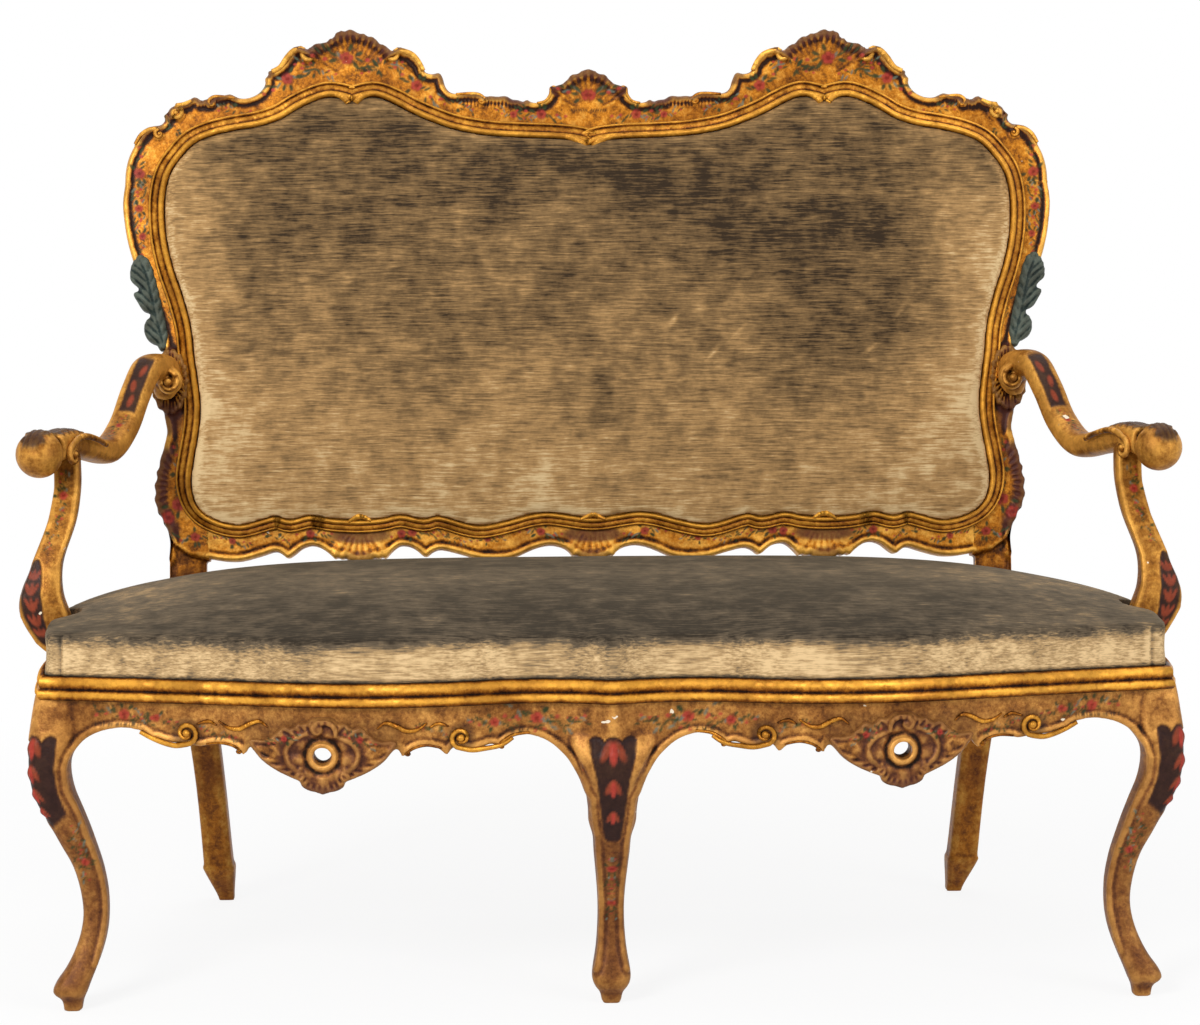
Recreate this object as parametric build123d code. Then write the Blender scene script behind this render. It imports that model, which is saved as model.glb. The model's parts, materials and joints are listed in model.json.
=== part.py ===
from build123d import *
import os
from math import cos, hypot, radians, sin

# A painted and gilt settee: three cabriole legs in front, two raked legs behind, open scroll arms,
# a shaped back in a carved frame and a stuffed seat. Millimetres, +Z up, the front faces -Y.
# X runs from the middle to the sitter's left, which is the right of a viewer in front.
# Depths are measured from the line that joins the front corners of the seat frame, positive
# towards the back. The finished pieces are moved so that the origin lies under the middle.

# Seat frame
corner_x = 713          # rail face at the front corner, from the middle
corner_depth = 10       # rail face at the front corner, behind the corner line
side_bulge_x = 708      # rail face half way along the side
rear_x = 602            # rail face at the rear end of the side
rear_depth = 500        # front of the rear legs at the height of the rails
rail_top = 425
rail_thickness = 28
quarter_bow = 72        # forward swell of the front at its two quarter points
waist_bow = 47          # forward swell between quarter point and middle
tip_bow = 66            # forward swell of the pointed middle
waist_share = 0.238     # end of the waist, from the middle to the corner
waist_rise = 11         # how much further forward the waist ends
quarter_share = 0.42
swell_end_share = 0.589
swell_fall = 16         # how far the swell falls back at its outer end
corner_swell = 21       # forward swell half way from there to the corner
ahead = 140             # a distance in front of the whole seat frame
behind = 60             # a distance behind the front rails
rear_rail_height = 80
side_rail_height = 78
side_rail_arch = 18
brace_width = 44
brace_height = 46
brace_drop = 12         # top of the brace below the top of the rails
side_arch_margin = 40   # flat left at each end of the side rail's lower edge
block_leg = 60          # reach of the glue blocks along the rails
block_height = 45
block_drop = 14

# Seat moulding, two beads on the face of the rails
bead_low_height = 14
bead_high_height = 16
bead_low_proud = 12
bead_high_proud = 8
bead_top_over_rail = 2
bead_round = 5
bead_return = 24        # how far the front moulding returns round the corner

# Legs
post_bottom = 338
post_inner_x = 665      # inner side of the corner post, from the middle
post_depth = 50         # corner post, from the corner line to its rear side
leg_in_post = 16        # end of the shaped leg inside its post, below the moulding
middle_post_width = 60
middle_post_depth = 56
rear_post_inner_x = 548
rear_post_bottom = 338
rear_post_depth = 42
stile_leg_top = 530     # height where the rear leg ends inside the reclined stile

# Pierced carving on each front rail
cartouche_x = 362       # its middle, from the middle of the settee
cartouche_proud = 11
cartouche_hole = 22
cartouche_hole_z = 337

# Back
recline = 10.5          # degrees
back_foot_depth = 510   # front face of the back at the height of its foot
back_foot_height = 500
board_thickness = 36
stile_inner_u = 545     # joint between stile and lower back rail, from the middle
crest_joint_v = 540     # joint between stile and crest rail, up the slope
crest_top_v = 764
crest_seat_v = 702      # where the crest carvings sit on the crest rail
shell_seat_v = 664      # where the middle shell sits on the crest rail
crest_middle_u = 338    # middle of each crest carving, from the middle
crest_carving_proud = 8
opening_bottom_v = 88   # lower edge of the open field behind the upholstery
leaf_back = -26         # the green leaf on each stile, from the face of the board
leaf_proud = 9

# Back moulding, stepped: a flat, a thin outer bead and a full inner bead
mould_width = 23
lower_mould_width = 17
mould_flat = 6
mould_outer_bead = 6
mould_outer_height = 10
mould_inner_start = 3
mould_inner_width = 10
mould_inner_height = 14

# Arms
arm_width = 40
arm_thickness = 34
arm_round = 0.38        # corner radius of the arm's section, as a share of its thickness
arm_root_height = 62
arm_knob_radius = 31
arm_shell_proud = 10
arm_shell_u = 603
arm_shell_v = 260
arm_shell_half_width = 20
arm_shell_half_height = 44

# Joinery
tenon_length = 24
tenon_thickness = 10
tenon_shoulder = 8
glue_gap = 0.2
peg_diameter = 7
peg_length = 60
peg_spread = 0.3        # pegs above and below the middle, as a share of the joint's height
side_peg_spread = 0.12  # the same in the side rails, clear of the other pegs in the post
crest_tenon_width = 50
screw_diameter = 6
screw_head = 11
screw_head_height = 4
dowel_diameter = 10
dowel_length = 30
carving_dowel_spread = 50
shell_dowel_u = 30
arm_screw_grip = 24
screw_grip = 10         # thread in the rail
screw_under_head = 22   # length under the head in a glue block
screw_edge = 14

# Upholstery
web_width = 50
web_thickness = 1.5
web_inset = 6           # end of the webbing inside the face of the frame
cross_web_step = 130
cross_web_side = 4      # straps each side of the middle one
long_web_depths = (85, 250, 345, 440)
back_web_inset = 5
back_web_step = 150
back_web_side = 3
back_web_heights = (200, 330, 460)
tack_edge = 9
back_tack_edge = 7
tack_spread = 13
hessian_thickness = 1
tack_head = 7
tack_head_height = 1
tack_shank = 2
tack_length = 10
cover_thickness = 2
soft_gap = 0.3
notch_clear = 1         # upholstery clear of the rear legs and the foot of the arm supports
support_room = 28       # half the notch in the seat for each arm support, front to back
seat_edge_height = 56   # seat cushion at its front edge, above the moulding
seat_crown = 34         # rise of the seat from that edge to the middle
seat_draw_in = 4        # how far the sides pull in at half height
back_edge_height = 8    # back pad at the moulding, in front of the board
back_crown = 20         # rise of the back pad to its middle
lining_thickness = 1.5

tilt = radians(recline)
bead_top = rail_top + bead_top_over_rail
bead_bottom = bead_top - bead_high_height - bead_low_height
back_reach = back_foot_depth + crest_top_v * sin(tilt) + board_thickness * cos(tilt)
front_reach = quarter_bow + bead_low_proud
middle_depth = (back_reach - front_reach) / 2
back_plane = Plane(
    origin=(0, back_foot_depth, back_foot_height),
    x_dir=(1, 0, 0),
    z_dir=(0, -cos(tilt), sin(tilt)),
)


# Helpers
def flip(shape):
    """The same shape on the other side of the middle."""
    return mirror(shape, about=Plane.YZ)


def both(shape):
    return shape + flip(shape)


def curve(points):
    """A straight edge through two points, or a smooth one through more."""
    return Line(*points) if len(points) == 2 else Spline(*points)


def outline(*stretches):
    """A closed face from stretches that share their end points; corners lie between stretches."""
    return make_face([curve(points) for points in stretches])


def box_between(low, high):
    size = [b - a for a, b in zip(low, high)]
    middle = [(a + b) / 2 for a, b in zip(low, high)]
    return Pos(*middle) * Box(*size)


def prism(face, low, high):
    """A plan outline raised between two heights."""
    return extrude(Pos(0, 0, low) * face, high - low)


def board(face, back, front):
    """An outline on the slope of the back, between two distances in front of the board's face."""
    return extrude(back_plane.offset(back) * face, front - back)


def on_back(u, v, w=0):
    return back_plane.from_local_coords(Vector(u, v, w))


def elevation(face, low_depth, high_depth):
    """An outline drawn in X and Z, run from front to back."""
    plane = Plane(origin=(0, high_depth, 0), x_dir=(1, 0, 0), z_dir=(0, -1, 0))
    return extrude(plane * face, high_depth - low_depth)


def shifted(points, distance):
    """A line of points set over to its left; an end on the middle line stays on it."""
    moved = []
    for index, (x, y) in enumerate(points):
        before = points[max(index - 1, 0)]
        after = points[min(index + 1, len(points) - 1)]
        dx = after[0] - before[0]
        dy = after[1] - before[1]
        length = hypot(dx, dy)
        new_x = 0 if x == 0 else x - distance * dy / length
        moved.append((new_x, y + distance * dx / length))
    return moved


def limb(sections, corner_share=0.4):
    """A carved member through level sections of (x, depth, height, width, thickness)."""
    return loft([
        Pos(x, depth, height) * RectangleRounded(width, thick, corner_share * min(width, thick))
        for x, depth, height, width, thick in sections
    ])


def rod(start, end, diameter):
    axis = Vector(*end) - Vector(*start)
    return extrude(Plane(origin=start, z_dir=axis) * Circle(diameter / 2), axis.length)


# Plan of the seat frame
def frame_plan(inset=0, rear=rear_depth):
    """Outline of the seat frame from above, set in from the face of the rails."""
    reach = corner_x - inset
    right = [
        (0, inset - tip_bow),
        (waist_share * reach / 2, inset - waist_bow),
        (waist_share * reach, inset - waist_bow - waist_rise),
        (quarter_share * reach, inset - quarter_bow),
        (swell_end_share * reach, inset - quarter_bow + swell_fall),
        ((swell_end_share + 1) / 2 * reach, inset - corner_swell),
        (reach, corner_depth + inset),
        (side_bulge_x - inset, (corner_depth + inset + rear) / 2),
        (rear_x - inset, rear),
    ]
    left = [(-x, depth) for x, depth in right[::-1]]
    arcs = [ThreePointArc(*line[start:start + 3]) for line in (right, left) for start in (0, 2, 4, 6)]
    return make_face([*arcs[:4], Line(right[-1], left[0]), *arcs[4:]])


frame_block = prism(frame_plan(), 0, rail_top)
rail_ring = frame_block - prism(frame_plan(rail_thickness), 0, rail_top)

# Front legs
corner_leg_sections = [
    (corner_x - 33, -2, 0, 23, 23),
    (corner_x - 33, -2, 14, 26, 26),
    (corner_x - 32, -3, 24, 42, 40),
    (corner_x - 35, 0, 38, 44, 42),
    (corner_x - 52, 12, 70, 36, 36),
    (corner_x - 61, 22, 112, 33, 33),
    (corner_x - 59, 24, 152, 35, 36),
    (corner_x - 46, 20, 202, 42, 42),
    (corner_x - 24, 16, 255, 50, 50),
    (corner_x - 8, 17, 300, 50, 52),
    (corner_x - 11, 22, post_bottom, 58, 53),
    (corner_x - 18, 26, bead_bottom - leg_in_post, 50, 44),
]
middle_leg_sections = [
    (0, 0, 0, 24, 24),
    (0, 0, 14, 27, 27),
    (0, -1, 25, 48, 42),
    (0, 1, 40, 50, 44),
    (0, 10, 75, 38, 38),
    (0, 14, 112, 34, 34),
    (0, 8, 150, 37, 37),
    (0, -12, 202, 46, 44),
    (0, -32, 255, 57, 54),
    (0, -44, 300, 58, 60),
    (0, -41, post_bottom, 50, 44),
    (0, -39, bead_bottom - leg_in_post, 44, 40),
]
corner_post = frame_block & box_between((post_inner_x, -ahead, post_bottom),
                                        (corner_x + ahead, post_depth, rail_top))
middle_rear = middle_post_depth - tip_bow
middle_post = box_between(
    (-middle_post_width / 2, -ahead, post_bottom), (middle_post_width / 2, middle_rear, rail_top)
) & frame_block
corner_leg = limb(corner_leg_sections) + corner_post
middle_leg = limb(middle_leg_sections) + middle_post

# Front rails, bowed in plan with a scrolled lower edge
post_side_x = middle_post_width / 2
apron = outline(
    [(post_side_x, rail_top), (post_side_x, 268)],
    [(post_side_x, 268), (37, 292), (45, 314), (57, 334), (76, 348), (105, 355), (140, 344)],
    [(140, 344), (160, 347), (182, 341), (206, 336)],
    [(206, 336), (226, 345), (245, 344), (258, 335)],
    [(258, 335), (266, 347), (285, 326), (310, 311), (335, 306), (362, 302), (389, 306),
     (414, 311), (439, 326), (453, 346), (460, 334)],
    [(460, 334), (475, 344), (495, 347), (512, 343)],
    [(512, 343), (528, 341), (548, 345), (572, 350)],
    [(572, 350), (590, 358), (615, 362), (642, 356), (post_inner_x, post_bottom)],
    [(post_inner_x, post_bottom), (post_inner_x, rail_top)],
    [(post_inner_x, rail_top), (post_side_x, rail_top)],
)
front_rail = rail_ring & elevation(apron, -ahead, behind)

# Pierced cartouche glued on the face of each front rail
cartouche_half = outline(
    [(0, bead_bottom - 2), (40, bead_bottom - 4), (70, bead_bottom - 14), (88, 366), (92, 348)],
    [(92, 348), (80, 328), (60, 314), (36, 307)],
    [(36, 307), (26, 300), (14, 293), (0, 289)],
    [(0, 289), (0, bead_bottom - 2)],
)
cartouche_face = Pos(cartouche_x, 0) * (cartouche_half + mirror(cartouche_half, about=Plane.YZ))
cartouche_band = prism(frame_plan(-cartouche_proud), 0, bead_top) - frame_block
cartouche = cartouche_band & elevation(cartouche_face, -ahead, behind)
cartouche_bore = rod((cartouche_x, -ahead, cartouche_hole_z), (cartouche_x, behind, cartouche_hole_z),
                     cartouche_hole)
cartouche -= cartouche_bore
front_rail -= cartouche_bore

# Rear stile: a reclined board above, a raked leg below
stile_inner = [(stile_inner_u, 95), (545, 112), (543, 150), (536, 190), (534, 225), (538, 262),
               (544, 297), (548, 335), (558, 378), (572, 420), (581, 460), (584, 500),
               (581, crest_joint_v)]
stile_outer = [(661, crest_joint_v), (663, 515), (661, 488), (656, 458), (646, 428), (630, 388),
               (614, 342), (605, 305), (604, 250), (606, 215), (605, 190), (611, 160), (617, 130),
               (619, 106), (616, 84), (608, 62), (601, 44), (598, 28), (600, 6)]
stile_face = outline(
    stile_inner,
    [stile_inner[-1], stile_outer[0]],
    stile_outer,
    [stile_outer[-1], (stile_inner_u, 6)],
    [(stile_inner_u, 6), stile_inner[0]],
)
rear_leg_sections = [
    (rear_x - 72, rear_depth + 78, 0, 22, 24),
    (rear_x - 70, rear_depth + 76, 12, 26, 28),
    (rear_x - 63, rear_depth + 62, 52, 45, 45),
    (rear_x - 62, rear_depth + 60, 62, 42, 42),
    (rear_x - 54, rear_depth + 40, 180, 41, 41),
    (rear_x - 42, rear_depth + 25, 290, 44, 41),
    (rear_x - 29, rear_depth + 21, rear_post_bottom + 8, 48, 38),
    (rear_x - 28, rear_depth + 21, rail_top - 8, 48, 38),
    (rear_x - 29, rear_depth + 27, back_foot_height, 50, 33),
    (rear_x - 29, rear_depth + 33, stile_leg_top, 46, 28),
]
rear_post = box_between((rear_post_inner_x, rear_depth, rear_post_bottom),
                        (rear_x, rear_depth + rear_post_depth, rail_top))
arm_shell = Pos(arm_shell_u, arm_shell_v) * Ellipse(arm_shell_half_width, arm_shell_half_height)
stile = (
    board(stile_face, -board_thickness, 0)
    + board(arm_shell, -board_thickness / 2, arm_shell_proud)
    + limb(rear_leg_sections, 0.15)
    + rear_post
)

# Crest rail and its three carvings
opening_top = [(0, 572), (50, 580), (145, 588), (220, 606), (282, 636), (338, 640), (400, 634),
               (440, 612), (505, 595), (545, 580), (568, 560), (581, crest_joint_v)]
crest_outer = [(661, crest_joint_v), (654, 568), (643, 596), (626, 617), (604, 633)]
crest_shoulder = [(604, 633), (589, 650), (565, 665), (532, 667), (500, 667), (474, 667),
                  (459, 677), (452, 692), (440, crest_seat_v)]
crest_dip = [(232, crest_seat_v), (214, 698), (205, 682), (194, 671), (160, 666), (125, 662),
             (90, 660), (62, shell_seat_v)]
crest_half = outline(
    opening_top,
    [opening_top[-1], crest_outer[0]],
    crest_outer,
    crest_shoulder,
    [crest_shoulder[-1], crest_dip[0]],
    crest_dip,
    [crest_dip[-1], (0, shell_seat_v)],
    [(0, shell_seat_v), opening_top[0]],
)
crest_rail = board(both(crest_half), -board_thickness, 0)
cartouche_left_edge = [(232, crest_seat_v), (238, 716), (252, 729), (268, 732), (284, 734)]
cartouche_rim = [(284, 734), (296, 746), (312, 752), (324, 760), (crest_middle_u, crest_top_v),
                 (354, 759), (368, 750), (382, 744), (394, 734)]
cartouche_right_edge = [(394, 734), (408, 732), (424, 718), (440, crest_seat_v)]
crest_carving_face = outline(
    cartouche_left_edge,
    cartouche_rim,
    cartouche_right_edge,
    [cartouche_right_edge[-1], cartouche_left_edge[0]],
)
crest_carving = board(crest_carving_face, -board_thickness, crest_carving_proud)
middle_shell_half = outline(
    [(0, shell_seat_v), (0, 708)],
    [(0, 708), (18, 703), (36, 696), (52, 682), (62, shell_seat_v)],
    [(62, shell_seat_v), (0, shell_seat_v)],
)
middle_shell = board(both(middle_shell_half), -board_thickness, crest_carving_proud)

# Lower back rail
lower_edge = [
    [(stile_inner_u, 8), (520, 4), (497, 4), (470, 11), (450, 17), (431, 9)],
    [(431, 9), (415, 18), (400, 24), (385, 23), (364, 9)],
    [(364, 9), (348, 5), (330, 4), (312, 5), (296, 9)],
    [(296, 9), (275, 23), (256, 21), (236, 10)],
    [(236, 10), (215, 17), (190, 11), (165, 5), (138, 4), (110, 6), (82, 17), (60, 21), (35, 16),
     (24, 8)],
    [(24, 8), (12, 5), (0, 4)],
]
lower_half = outline(
    *lower_edge,
    [(0, 4), (0, opening_bottom_v)],
    [(0, opening_bottom_v), (stile_inner_u, opening_bottom_v)],
    [(stile_inner_u, opening_bottom_v), (stile_inner_u, 8)],
)
lower_rail = board(both(lower_half), -board_thickness, 0)

# Gilt moulding round the upholstery of the back
sight_top = [(0, 592), (14, 599), (50, 603), (100, 605), (145, 608), (190, 616), (222, 627),
             (252, 640), (282, 656), (304, 664), (322, 662), (crest_middle_u, 657), (354, 662),
             (372, 664), (392, 658), (415, 647), (440, 632), (470, 622), (505, 616), (535, 609),
             (562, 597), (581, 577), (595, 556), (602, crest_joint_v - 10)]
sight_side = [(602, crest_joint_v - 10), (604, 500), (601, 460), (592, 420), (578, 378), (567, 335),
              (563, 297), (558, 262), (554, 225), (556, 190), (562, 155), (567, 118), (563, 90),
              (551, 72), (532, 61), (510, 55)]
sight_bottom = [(510, 55), (492, 55), (470, 61), (448, 66), (428, 61), (400, 67), (368, 62),
                (332, 60), (300, 62), (272, 67), (240, 61), (218, 65), (180, 54), (155, 51),
                (120, 58), (90, 66), (65, 69), (40, 66), (15, 62), (0, 61)]

sight = sight_top + sight_side[1:] + sight_bottom[1:]
side_start = len(sight_top) - 1
bottom_start = side_start + len(sight_side) - 1


def back_moulding(first, last, width):
    """A stepped moulding along part of the line round the upholstery."""
    inner_end = mould_inner_start + mould_inner_width
    flat = board(sight_band(first, last, 0, width), 0, mould_flat)
    outer = board(sight_band(first, last, width - mould_outer_bead, width), mould_flat,
                  mould_outer_height)
    inner = board(sight_band(first, last, mould_inner_start, inner_end), mould_flat,
                  mould_inner_height)
    return flat + outer + inner


def sight_band(first, last, near, far):
    """The strip between two lines set over from part of the line round the upholstery."""
    inner = shifted(sight, near)[first:last + 1]
    outer = shifted(sight, far)[first:last + 1]
    return outline(inner, [inner[-1], outer[-1]], outer[::-1], [outer[0], inner[0]])


def sight_face(inset):
    """The field of the upholstery, set in from the moulding."""
    line = shifted(sight, -inset)
    pieces = [line[:side_start + 1], line[side_start:bottom_start + 1], line[bottom_start:]]
    return both(outline(*pieces, [line[-1], line[0]]))


mould_top = both(back_moulding(0, side_start, mould_width))
mould_side = back_moulding(side_start, bottom_start, mould_width)
mould_bottom = both(back_moulding(bottom_start, len(sight) - 1, lower_mould_width))

# Green leaf on the outer edge of each stile
leaf_face = outline(
    [(648, 434), (650, 410), (643, 384), (634, 352), (626, 326), (606, 304)],
    [(606, 304), (604, 330), (610, 362), (620, 395), (648, 434)],
)
leaf = board(leaf_face, leaf_back, leaf_proud) - stile

# Arms: a band that leaves the stile, dips and ends in a round knob
arm_root = on_back(arm_shell_u, arm_shell_v, arm_shell_proud)
arm_line = [
    (arm_root.X + 4, arm_root.Y - 22, arm_root.Z + 18),
    (622, 488, 779),
    (636, 455, 744),
    (650, 420, 700),
    (668, 372, 674),
    (690, 314, 685),
    (711, 260, 697),
    (730, 208, 692),
]
knob_middle = (738, 190, 690)


def arm_section(index):
    point = Vector(*arm_line[index])
    before = arm_line[max(index - 1, 0)]
    after = arm_line[min(index + 1, len(arm_line) - 1)]
    along = Vector(*after) - Vector(*before)
    across = Vector(along.Y, -along.X, 0)
    plane = Plane(origin=point, x_dir=across, z_dir=along)
    return plane * RectangleRounded(arm_width, arm_thickness, arm_round * arm_thickness)


root_plane = Plane(origin=arm_root, x_dir=(-1, 0, 0), z_dir=-back_plane.z_dir)
root_size = 2 * arm_shell_half_width - 4
root_section = root_plane.rotated((0, 0, 180)) * RectangleRounded(root_size, arm_root_height,
                                                                  arm_round * root_size)
arm = loft([root_section] + [arm_section(i) for i in range(len(arm_line))])
arm += Pos(*knob_middle) * Sphere(arm_knob_radius)

support_sections = [
    (700, 165, rail_top, 30, 46),
    (716, 164, 448, 52, 48),
    (729, 163, 482, 66, 48),
    (735, 164, 510, 56, 44),
    (726, 174, 550, 40, 38),
    (710, 204, 600, 37, 36),
    (706, 238, 640, 35, 36),
    (708, 258, 672, 35, 38),
    (709, 262, 690, 35, 38),
]
support = limb(support_sections) - arm

# Side rails, rear rail and brace
side_bottom = rail_top - side_rail_height
side_block = box_between((0, post_depth, side_bottom), (corner_x + rail_thickness, rear_depth, rail_top))
arch_ends = (post_depth + side_arch_margin, rear_depth - side_arch_margin)
arch_top = (sum(arch_ends) / 2, side_bottom + side_rail_arch)
arch_face = make_face([
    ThreePointArc((arch_ends[0], side_bottom), arch_top, (arch_ends[1], side_bottom)),
    Line((arch_ends[1], side_bottom), (arch_ends[0], side_bottom)),
])
side_arch = extrude(Plane.YZ * arch_face, corner_x + rail_thickness)
side_rail = (rail_ring & side_block) - side_arch
rear_rail = box_between((-rear_post_inner_x, rear_depth, rail_top - rear_rail_height),
                        (rear_post_inner_x, rear_depth + rail_thickness, rail_top))
brace_top = rail_top - brace_drop
brace = box_between((-brace_width / 2, middle_rear, brace_top - brace_height),
                    (brace_width / 2, rear_depth, brace_top))

# Seat moulding: two beads round the face of the rails
def bead(proud, low, high):
    ring = prism(frame_plan(-proud), low, high)
    ring = fillet(ring.faces().sort_by(Axis.Z)[-1].edges() + ring.faces().sort_by(Axis.Z)[0].edges(),
                  bead_round)
    return ring - prism(frame_plan(), low, high)


bead_middle = bead_bottom + bead_low_height
bead_ring = bead(bead_low_proud, bead_bottom, bead_middle) + bead(bead_high_proud, bead_middle, bead_top)
far = 2 * corner_x
front_moulding = bead_ring & box_between((0, -far, 0), (far, bead_return, far))
side_moulding = bead_ring & box_between((0, bead_return, 0), (far, rear_depth, far))

pieces = {
    "front_leg": corner_leg,
    "front_rail": front_rail,
    "rail_cartouche": cartouche,
    "front_moulding": front_moulding,
    "side_moulding": side_moulding,
    "rear_stile": stile,
    "side_rail": side_rail,
    "crest_carving": crest_carving,
    "back_moulding_side": mould_side,
    "stile_leaf": leaf,
    "arm": arm,
    "arm_support": support,
}
middles = {
    "front_leg_middle": middle_leg,
    "rear_rail": rear_rail,
    "seat_brace": brace,
    "crest_rail": crest_rail,
    "crest_shell": middle_shell,
    "lower_back_rail": lower_rail,
    "back_moulding_top": mould_top,
    "back_moulding_bottom": mould_bottom,
}


tongues = {name: [] for name in [*pieces, *middles]}
rooms = {name: [] for name in [*pieces, *middles]}


def add(name, tenon):
    """Give a piece a tenon; a middle piece has it on both sides."""
    tongues[name] += [tenon] if name in pieces else [tenon, flip(tenon)]


def cut(name, tool):
    """Take a fitting's room out of a piece; a middle piece loses it on both sides."""
    rooms[name] += [tool] if name in pieces else [tool, flip(tool)]


# Mortise and tenon joints, each held by two pegs: from the hidden side, and from outside at the
# rear end of the side rails
pegs = []


def tongue(end, up, grow=0):
    """The tenon on a rail's flat end, or its mortise when grown by the glue gap."""
    tall = end.bounding_box().size.Z - 2 * tenon_shoulder + 2 * grow
    place = Plane(origin=end.center(), x_dir=up, z_dir=end.normal_at())
    return extrude(place * Rectangle(tall, tenon_thickness + 2 * grow), tenon_length + grow)


def joint(rail, end, host, up, inward, share=peg_spread):
    post = pieces.get(host) or middles[host]
    add(rail, tongue(end, up))
    cut(host, tongue(end, up, glue_gap))
    spread = share * end.bounding_box().size.Z
    for side in (-1, 1):
        middle = end.center() + end.normal_at() * (tenon_length / 2) + up * (side * spread)
        peg = rod(middle - inward * tenon_thickness, middle + inward * peg_length, peg_diameter) & post
        cut(host, peg)
        cut(rail, peg)
        pegs.append(peg)


upright = Vector(0, 0, 1)
to_back = Vector(0, 1, 0)
to_middle = Vector(-1, 0, 0)
joint("front_rail", front_rail.faces().sort_by(Axis.X)[-1], "front_leg", upright, to_back)
joint("front_rail", front_rail.faces().sort_by(Axis.X)[0], "front_leg_middle", upright, to_back)
joint("side_rail", side_rail.faces().sort_by(Axis.Y)[0], "front_leg", upright, to_middle, side_peg_spread)
joint("side_rail", side_rail.faces().sort_by(Axis.Y)[-1], "rear_stile", upright, -to_middle, side_peg_spread)
joint("rear_rail", rear_rail.faces().sort_by(Axis.X)[-1], "rear_stile", upright, -to_back)
joint("lower_back_rail", lower_rail.faces().sort_by(Axis.X)[-1], "rear_stile", back_plane.y_dir,
      -back_plane.z_dir)

crest_tenon_u = (stile_inner[-1][0] + stile_outer[0][0]) / 2
board_middle = -board_thickness / 2


def crest_tenon(grow=0):
    face = Rectangle(crest_tenon_width + 2 * grow, tenon_length + grow)
    half = tenon_thickness / 2 + grow
    place = Pos(crest_tenon_u, crest_joint_v + (tenon_length + grow) / 2)
    return board(place * face, board_middle - half, board_middle + half)


add("rear_stile", crest_tenon())
cut("crest_rail", crest_tenon(glue_gap))
for side in (-1, 1):
    peg_u = crest_tenon_u + side * peg_spread * crest_tenon_width
    peg_v = crest_joint_v + tenon_length / 2
    peg = rod(on_back(peg_u, peg_v, board_middle + tenon_thickness),
              on_back(peg_u, peg_v, -board_thickness), peg_diameter)
    cut("rear_stile", peg)
    cut("crest_rail", peg)
    pegs.append(peg)

# Dowels under the carvings and at both ends of the arm supports
dowels = []


def dowel(middle, along, *hosts):
    pin = rod(middle - along * (dowel_length / 2), middle + along * (dowel_length / 2), dowel_diameter)
    for host in hosts:
        cut(host, pin)
    dowels.append(pin)


for side in (-1, 1):
    seat = on_back(crest_middle_u + side * carving_dowel_spread, crest_seat_v, board_middle)
    dowel(seat, back_plane.y_dir, "crest_carving", "crest_rail")
dowel(on_back(shell_dowel_u, shell_seat_v, board_middle), back_plane.y_dir, "crest_shell", "crest_rail")
support_foot = support_sections[0]
dowel(Vector(support_foot[0], support_foot[1], rail_top), upright, "arm_support", "side_rail")
support_head = support_sections[-1]
dowel(Vector(support_head[0], support_head[1], support_head[2] - dowel_length / 2), upright,
      "arm_support", "arm")

# Screws: one from behind into each arm, two in each glue block
screws = []


def screw(head_point, tip, *hosts):
    along = (tip - head_point).normalized()
    body = rod(head_point, tip, screw_diameter)
    body += rod(head_point, head_point + along * screw_head_height, screw_head)
    for host in hosts:
        cut(host, body)
    screws.append(body)


screw(on_back(arm_shell_u, arm_shell_v, -board_thickness),
      on_back(arm_shell_u, arm_shell_v, arm_shell_proud + arm_screw_grip), "rear_stile", "arm")

# Glue blocks in the corners of the seat frame
block_top = rail_top - block_drop
block_middle = block_top - block_height / 2
block_far = post_inner_x - block_leg


def glue_block(points, post):
    """A cornered block trimmed to the rails and the leg that it braces."""
    corner = make_face(Polyline(*points, close=True).edges()) & frame_plan(rail_thickness)
    return prism(corner, block_top - block_height, block_top) - post


def block_screw(block, at, along, rail):
    """A screw through a block into a rail, its head sunk in the block."""
    tip = at + along * screw_grip
    head = at - along * screw_under_head
    cut(block, rod(head, head - along * block_leg, screw_head))
    screw(head, tip, block, rail)


front_block = glue_block(
    [(block_far, -block_leg), (corner_x, -block_leg), (corner_x, post_depth + block_leg),
     (post_inner_x, post_depth + block_leg), (block_far, post_depth)], corner_post)
rear_block = glue_block(
    [(rear_post_inner_x - block_leg, rear_depth), (corner_x, rear_depth),
     (corner_x, rear_depth - block_leg), (rear_post_inner_x, rear_depth - block_leg),
     (rear_post_inner_x - block_leg, rear_depth - block_leg / 2)], rear_post)
middle_block = glue_block(
    [(post_side_x, -tip_bow), (post_side_x + block_leg, -tip_bow),
     (post_side_x + block_leg, middle_rear), (post_side_x, middle_rear + block_leg / 2)], middle_post)
for name, block in (("front", front_block), ("rear", rear_block), ("middle", middle_block)):
    pieces["corner_block_" + name] = block
    tongues["corner_block_" + name] = []
    rooms["corner_block_" + name] = []
front_box = front_block.bounding_box()
rear_box = rear_block.bounding_box()
middle_box = middle_block.bounding_box()
block_screw("corner_block_front", Vector(front_box.min.X + screw_edge, front_box.min.Y, block_middle),
            -to_back, "front_rail")
block_screw("corner_block_front", Vector(front_box.max.X, front_box.max.Y - screw_edge, block_middle),
            -to_middle, "side_rail")
block_screw("corner_block_rear", Vector(rear_box.min.X + screw_edge, rear_depth, block_middle),
            to_back, "rear_rail")
block_screw("corner_block_rear", Vector(rear_box.max.X, rear_box.min.Y + screw_edge, block_middle),
            -to_middle, "side_rail")
block_screw("corner_block_middle", Vector(middle_box.max.X - screw_edge, middle_box.min.Y, block_middle),
            -to_back, "front_rail")

# Seat: webbing on the rails, hessian, stuffing and velvet cover
tacks = []
web_field = prism(frame_plan(web_inset, rear_depth + rail_thickness - web_inset), rail_top,
                  rail_top + 2 * web_thickness)


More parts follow.
